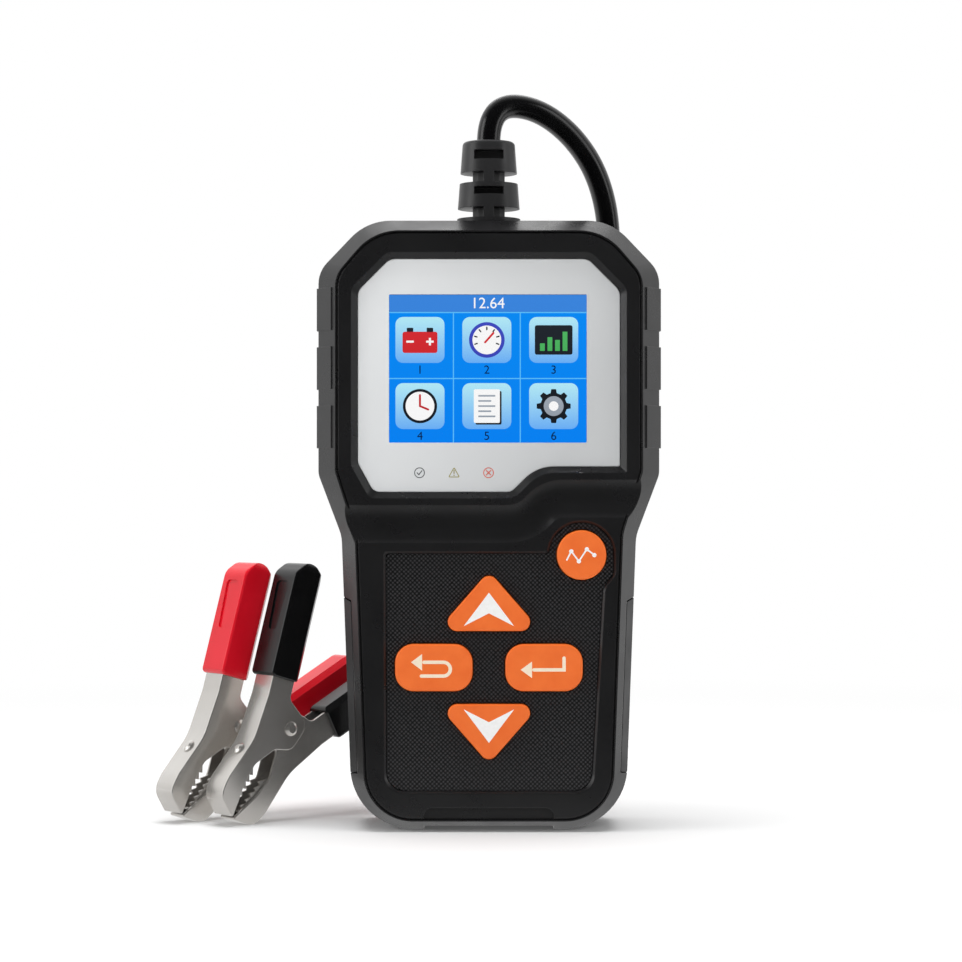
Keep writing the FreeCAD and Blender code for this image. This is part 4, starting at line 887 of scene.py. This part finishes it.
@dataclass
class Display:
    """Lens, lit screen and printed marks."""

    screen: Point2 = (-0.3, 134.85)
    width: float = 57.6
    height: float = 43.2
    glass_front: float = 13.4
    lens_front: float = 15.3
    layer: float = 0.03
    header: float = 5.2
    line: float = 0.3
    number_drop: float = 2.1
    tile: Point2 = (14.3, 13.4)
    pitch: Point2 = (19.5, 19.3)
    tile_centre: Point2 = (-0.6, 133.6)

    def build(self) -> None:
        """Builds the lens, the picture and the marks under it."""
        self.lens()
        self.picture()
        self.icons()
        self.marks()

    def lens(self) -> None:
        """Splits the lens into its painted border and its clear window."""
        cutter = plate("window_cutter", [rectangle(*self.screen, self.width, self.height, 0.3)], 20, 10)
        for name, kind, finish in (("lens_border", "DIFFERENCE", LENS), ("lens_window", "INTERSECT", WINDOW)):
            piece = merged_copy(name, "display_lens")
            modifier = piece.modifiers.new("cut", "BOOLEAN")
            modifier.object = cutter
            modifier.operation = kind
            modifier.solver = "EXACT"
            baked(piece)
            attach(piece, finish, ROOT)
            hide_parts("display_lens")
        bpy.data.objects.remove(cutter)

    def show(self, name: str, outlines: Sequence[Outline], depth: int, finish: Finish) -> None:
        """Puts one layer of the picture on the screen.

        Args:
            name: The piece's name.
            outlines: Its shapes, in millimetres.
            depth: How many layers it lies above the glass.
            finish: Its finish.
        """
        piece = plate(name, outlines, self.glass_front + depth * self.layer, 0.02)
        attach(piece, finish, ROOT)

    def picture(self) -> None:
        """Draws the lit ground, its header and its dividing lines."""
        x, z = self.screen
        top = z + self.height / 2
        low = z - self.height / 2
        self.show("screen_ground", [rectangle(x, z, self.width, self.height, 0.2)], 1, SCREEN_BLUE)
        band = rectangle(x, top - self.header / 2, self.width, self.header, 0.1)
        self.show("screen_header", [band], 2, SCREEN_HEADER)
        middle, tall = (top - self.header + low) / 2, self.height - self.header
        lines = [rectangle(self.tile_centre[0] + i * self.pitch[0] / 2, middle, self.line, tall, 0.1)
                 for i in (-1, 1)]
        lines.extend(rectangle(x, at, self.width, self.line, 0.1)
                     for at in (self.tile_centre[1] - 1.6, top - self.header))
        self.show("screen_lines", lines, 3, SCREEN_LINE)
        face = LitTile("lit_tile", "6cb2fb", "b8f0fc", 117.2, 130.7, pitch_mm=self.pitch[1])
        tiles = TileField("screen_tiles", self.tile_centre, 3, 2, self.pitch, self.tile, 2.2,
                          self.glass_front + 3 * self.layer).build(face)
        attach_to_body(tiles, ROOT)
        front = self.glass_front + 4 * self.layer
        attach(words("screen_reading", "12.64", x, top - self.header / 2, 3.2, front),
               SCREEN_WHITE, ROOT)
        below = self.tile[1] / 2 + self.number_drop
        for k in range(6):
            cx, cz = self.spot(k % 3, k // 3)
            number = words(f"screen_number_{k + 1}", str(k + 1), cx, cz - below, 2.5, front)
            attach(number, SCREEN_NAVY, ROOT)

    def spot(self, column: int, row: int) -> Point2:
        """The middle of a tile."""
        return (self.tile_centre[0] + (column - 1) * self.pitch[0],
                self.tile_centre[1] + (0.5 - row) * self.pitch[1])

    def icons(self) -> None:
        """Draws a plain coloured symbol on each tile."""
        x, z = self.spot(0, 0)
        posts = [rectangle(x + i * 2.9, z + 2.9, 1.9, 1.3, 0.2) for i in (-1, 1)]
        self.show("symbol_cell_posts", posts, 5, SCREEN_BLACK)
        self.show("symbol_cell", [rectangle(x, z - 0.7, 10.2, 6.2, 0.7)], 5, SCREEN_RED)
        signs = [rectangle(x + i * 2.9, z - 0.5, 2.2, 0.6, 0.1) for i in (-1, 1)]
        self.show("symbol_cell_signs", signs, 6, SCREEN_WHITE)
        self.show("symbol_cell_cross", [rectangle(x + 2.9, z - 0.5, 0.6, 2.2, 0.1)], 7, SCREEN_WHITE)
        x, z = self.spot(1, 0)
        self.show("symbol_dial_rim", [disc(x, z, 5.2)], 5, SCREEN_INDIGO)
        self.show("symbol_dial_face", [disc(x, z, 4.2)], 6, SCREEN_WHITE)
        ticks = [math.radians(200 - 220 * k / 6) for k in range(7)]
        self.show("symbol_dial_ticks", [stroke([(x + 3.0 * math.cos(t), z + 3.0 * math.sin(t)),
                                                (x + 3.7 * math.cos(t), z + 3.7 * math.sin(t))], 0.4)
                                        for t in ticks], 7, SCREEN_BLACK)
        self.show("symbol_dial_hand", [stroke([(x - 0.5, z - 0.7), (x + 1.9, z + 2.0)], 0.6)], 8, SCREEN_RED)
        x, z = self.spot(2, 0)
        self.show("symbol_chart_card", [rectangle(x, z, 11.0, 8.6, 0.6)], 5, SCREEN_BLACK)
        heights = (2.2, 4.0, 3.2, 5.6)
        self.show("symbol_chart_bars", [rectangle(x - 3.3 + 2.2 * k, z - 3.2 + h / 2, 1.4, h, 0.1)
                                        for k, h in enumerate(heights)], 6, SCREEN_GREEN)
        x, z = self.spot(0, 1)
        self.show("symbol_clock_rim", [disc(x, z, 5.0)], 5, SCREEN_BLACK)
        self.show("symbol_clock_face", [disc(x, z, 4.2)], 6, SCREEN_WHITE)
        hands = stroke([(x, z + 3.2), (x, z), (x + 2.4, z - 1.0)], 0.6)
        self.show("symbol_clock_hands", [hands], 7, SCREEN_RED)
        x, z = self.spot(1, 1)
        self.show("symbol_sheet_shade", [rectangle(x + 0.5, z - 0.5, 7.6, 9.8, 0.4)], 5, SCREEN_BLACK)
        self.show("symbol_sheet", [rectangle(x, z, 7.6, 9.8, 0.4)], 6, SCREEN_WHITE)
        rules = [rectangle(x - 0.6 * (k % 2), z + 3.0 - 1.5 * k, 5.0 - 1.2 * (k % 2), 0.5, 0.1)
                 for k in range(5)]
        self.show("symbol_sheet_rules", rules, 7, SCREEN_GREY)
        x, z = self.spot(2, 1)
        self.show("symbol_gear", [self.gear(x, z, 3.9, 5.0, 8)], 5, SCREEN_BLACK)
        self.show("symbol_gear_disc", [disc(x, z, 2.9)], 6, SCREEN_GREY)
        self.show("symbol_gear_hole", [disc(x, z, 1.4)], 7, SCREEN_WHITE)

    def gear(self, x: float, z: float, root: float, tip: float, teeth: int) -> Outline:
        """The outline of a toothed wheel."""
        outline: Outline = []
        step = 2 * math.pi / teeth
        for k in range(teeth):
            for share, radius in ((-0.30, root), (-0.18, tip), (0.18, tip), (0.30, root)):
                turn = step * (k + share)
                outline.append((x + radius * math.cos(turn), z + radius * math.sin(turn)))
        return outline

    def marks(self) -> None:
        """Prints the three marks over the indicator lights."""
        z = 104.5
        front = self.lens_front + 0.02
        xs = [-20.2 + 10.05 * k for k in range(3)]
        triangle = rounded([(xs[1] - 1.75, z - 1.35), (xs[1] + 1.75, z - 1.35), (xs[1], z + 1.75)], 0.3)
        check = stroke([(xs[0] - 0.7, z), (xs[0] - 0.2, z - 0.55), (xs[0] + 0.7, z + 0.6)], 0.28)
        bar = stroke([(xs[1], z + 0.7), (xs[1], z - 0.2)], 0.28)
        arms = [stroke([(xs[2] + i * 0.12, z + k * 0.12), (xs[2] + i * 0.65, z + k * 0.65)], 0.28)
                for i in (-1, 1) for k in (-1, 1)]
        prints = {
            "mark_good": (ring(disc(xs[0], z, 1.55), 0.24) + [check], INK_GREY),
            "mark_warn": (ring(triangle, 0.24) + [bar, disc(xs[1], z - 0.75, 0.18, 12)], INK_OLIVE),
            "mark_bad": (ring(disc(xs[2], z, 1.55), 0.24) + arms, INK_ORANGE),
        }
        for name, (shapes, ink) in prints.items():
            attach(plate(name, shapes, front, 0.03), ink, ROOT)


@dataclass
class Keypad:
    """Keys and the legends printed on them."""

    key_front: float = 18.0
    row: float = 47.9
    column: float = 16.0
    dial: Point2 = (26.9, 80.6)

    def build(self) -> None:
        """Dresses the keys and prints their legends."""
        for node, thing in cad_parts.items():
            if node.endswith("_key"):
                dress(thing, KEY)
        self.legend("up_key", self.arrow(1), LEGEND_WHITE)
        self.legend("down_key", self.arrow(-1), LEGEND_WHITE)
        self.legend("escape_key", self.go_back(-self.column, self.row), LEGEND)
        self.legend("enter_key", self.accept(self.column, self.row), LEGEND)
        x, z = self.dial
        turns = ((-4.3, -1.4), (-3.0, 1.1), (-0.8, -1.8), (1.5, 1.7), (3.7, 0.0))
        zigzag = [(x + i, z + k) for i, k in turns]
        self.legend("waveform_key", [stroke(zigzag, 0.45)], LEGEND_WHITE)
        dots = [disc(*spot, 0.62, 20) for spot in zigzag[1:]]
        piece = plate("waveform_key_dots", dots, self.key_front + 0.035, 0.04)
        attach(piece, LEGEND_WHITE, "waveform_key_cap")

    def legend(self, key: str, shapes: Sequence[Outline], ink: Finish) -> None:
        """Prints shapes on a key.

        Args:
            key: The key's node.
            shapes: Outlines, in millimetres.
            ink: The ink's finish.
        """
        piece = plate(f"{key}_legend", shapes, self.key_front + 0.025, 0.03)
        attach(piece, ink, f"{key}_cap")

    def arrow(self, sign: int) -> list[Outline]:
        """A notched arrowhead that points up or down."""
        points = [(0.0, 21.8), (-7.3, 12.1), (0.0, 15.8), (7.3, 12.1)]
        tip, left, notch, right = [(x, self.row + sign * z) for x, z in points]
        return [[tip, left, notch], [tip, notch, right]]

    def go_back(self, x: float, z: float) -> list[Outline]:
        """A line that turns back to the left."""
        turns = [math.radians(-90 + 180 * k / 12) for k in range(13)]
        bow = [(x + 2.8 + 2.0 * math.cos(t), z - 0.4 + 2.0 * math.sin(t)) for t in turns]
        line = [(x - 3.6, z - 2.4), *bow, (x - 2.85, z + 1.6)]
        head = [(x - 6.6, z + 1.6), (x - 3.4, z - 0.8), (x - 3.4, z + 4.0)]
        return [stroke(line, 1.0), head]

    def accept(self, x: float, z: float) -> list[Outline]:
        """A line that drops and turns left."""
        line = [(x + 5.8, z + 2.8), (x + 5.8, z - 0.6), (x - 2.95, z - 0.6)]
        head = [(x - 6.8, z - 0.6), (x - 3.5, z - 3.0), (x - 3.5, z + 1.8)]
        return [stroke(line, 1.0), head]


@dataclass
class Clamps:
    """The two clamps."""

    coil_half: float = 2.2
    on_lead: dict[Clamp, list[Object]] = field(default_factory=lambda: {clamp: [] for clamp in Clamp})

    def build(self) -> None:
        """Gives the steel and the sleeves their finishes, and notes what hangs on each lead."""
        for clamp in Clamp:
            colour = clamp.value
            sleeve = RED_PVC if clamp is Clamp.RED else BLACK_PVC
            for node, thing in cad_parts.items():
                if not node.startswith(f"{colour}_") or node.endswith("_lead"):
                    continue
                if node.endswith("_sleeve"):
                    dress(thing, sleeve)
                elif node.endswith("_spring"):
                    self.wind(node)
                    continue
                else:
                    dress(thing, NICKEL)
                if MOVING_MARK not in node:
                    self.on_lead[clamp].append(thing)

    def wind(self, node: str) -> None:
        """Swaps a spring for a copy of its mesh in spring steel, fixed where it stands.

        Args:
            node: The spring's CAD node.
        """
        wire = merged_copy(f"{node}_wire", node)
        dress(wire, SPRING_STEEL)
        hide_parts(node)
        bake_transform(wire)


@dataclass
class Cords:
    """The cable and the two leads, as smooth lines along their routes."""

    clamps: Clamps
    cable: tuple[Point3, ...] = (
        (0.0, 0.0, 202.7), (0.0, 0.0, 209.0), (5.2, 3.0, 214.6), (15.8, 8.0, 213.2), (26.2, 14.0, 205.8),
        (33.8, 20.0, 194.5), (37.4, 25.0, 178.5), (36.4, 28.4, 152.0), (30.0, 29.6, 118.0),
        (20.4, 29.6, 84.0),
        (10.0, 31.0, 52.0), (0.0, 37.0, 25.0), (-9.0, 50.0, 9.0), (-18.5, 70.0, 3.6), (-21.3, 93.8, 3.6),
        (-11.8, 110.2, 3.6), (6.0, 116.7, 3.6), (23.8, 110.2, 3.6), (33.3, 93.8, 3.8), (30.2, 76.2, 4.6))
    black: tuple[Point3, ...] = (
        (30.0, 63.0, 5.0), (28.8, 53.0, 5.4), (25.8, 46.4, 12.0), (21.4, 46.2, 22.8), (15.8, 49.6, 33.0),
        (10.0, 53.4, 42.0), (4.2, 56.4, 49.4), (-2.8, 56.6, 53.2), (-12.7, 52.4, 52.8), (-20.8, 46.3, 47.8),
        (-26.3, 41.7, 44.1))
    red: tuple[Point3, ...] = (
        (25.8, 63.8, 5.0), (24.2, 53.6, 5.2), (21.2, 47.4, 11.0), (17.4, 46.4, 20.2), (13.8, 50.6, 29.8),
        (9.2, 56.4, 38.4), (3.2, 61.8, 46.0), (-4.6, 65.2, 52.2), (-14.0, 64.6, 55.8), (-26.4, 60.0, 53.7),
        (-36.5, 52.8, 47.8), (-42.0, 48.2, 44.1))
    cable_diameter: float = 7.0
    lead_diameter: float = 3.4
    cable_length: float = 389.0
    lead_lengths: dict[Clamp, float] = field(default_factory=lambda: {Clamp.BLACK: 103.0, Clamp.RED: 118.7})

    def build(self) -> None:
        splitter = dress(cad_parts["cable_splitter"], CABLE)
        cable = self.lay("tester_cord", self.cable, self.cable_diameter, CABLE, "tester_cable")
        for clamp, route, finish in ((Clamp.BLACK, self.black, BLACK_PVC), (Clamp.RED, self.red, RED_PVC)):
            colour = clamp.value
            lead = self.lay(f"{colour}_cord", route, self.lead_diameter, finish,
                            f"{colour}_lead")

    def metres(self, point: Point3) -> Point3:
        """A route's point in metres."""
        return tuple(c * MM for c in point)

    def lay(self, name: str, route: Sequence[Point3], diameter: float, finish: Finish,
            node: str) -> Object:
        """Makes one cord.

        Args:
            name: The piece's name.
            route: Its points, in millimetres.
            diameter: Its diameter, in millimetres.
            finish: Its finish.
            node: The solid that it stands for.

        Returns:
            The cord.
        """
        curve = bpy.data.curves.new(name, "CURVE")
        curve.dimensions = "3D"
        curve.resolution_u = 10
        curve.bevel_depth = diameter * MM / 2
        curve.bevel_resolution = 8
        curve.use_fill_caps = True
        spline = curve.splines.new("NURBS")
        spline.points.add(len(route) - 1)
        for point, spot in zip(spline.points, route):
            point.co = (*self.metres(spot), 1.0)
        spline.order_u = 3
        spline.use_endpoint_u = True
        piece = link(name, curve)
        attach(piece, finish, ROOT)
        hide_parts(node)
        return piece


def plain(box: Sequence[Vector]) -> list[list[float]]:
    """A box as plain lists."""
    return [list(corner) for corner in box]


def main() -> None:
    """Builds the stage and dresses the object."""
    logging.basicConfig(level=logging.INFO, format="%(name)s: %(message)s")
    bpy.context.scene.view_settings.view_transform = "Standard"
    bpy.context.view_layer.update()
    Studio().build()
    clamps = Clamps()
    clamps.build()
    Cords(clamps).build()
    Case().dress()
    Display().build()
    Keypad().build()
    bpy.context.view_layer.update()


if __name__ == "__main__":
    main()
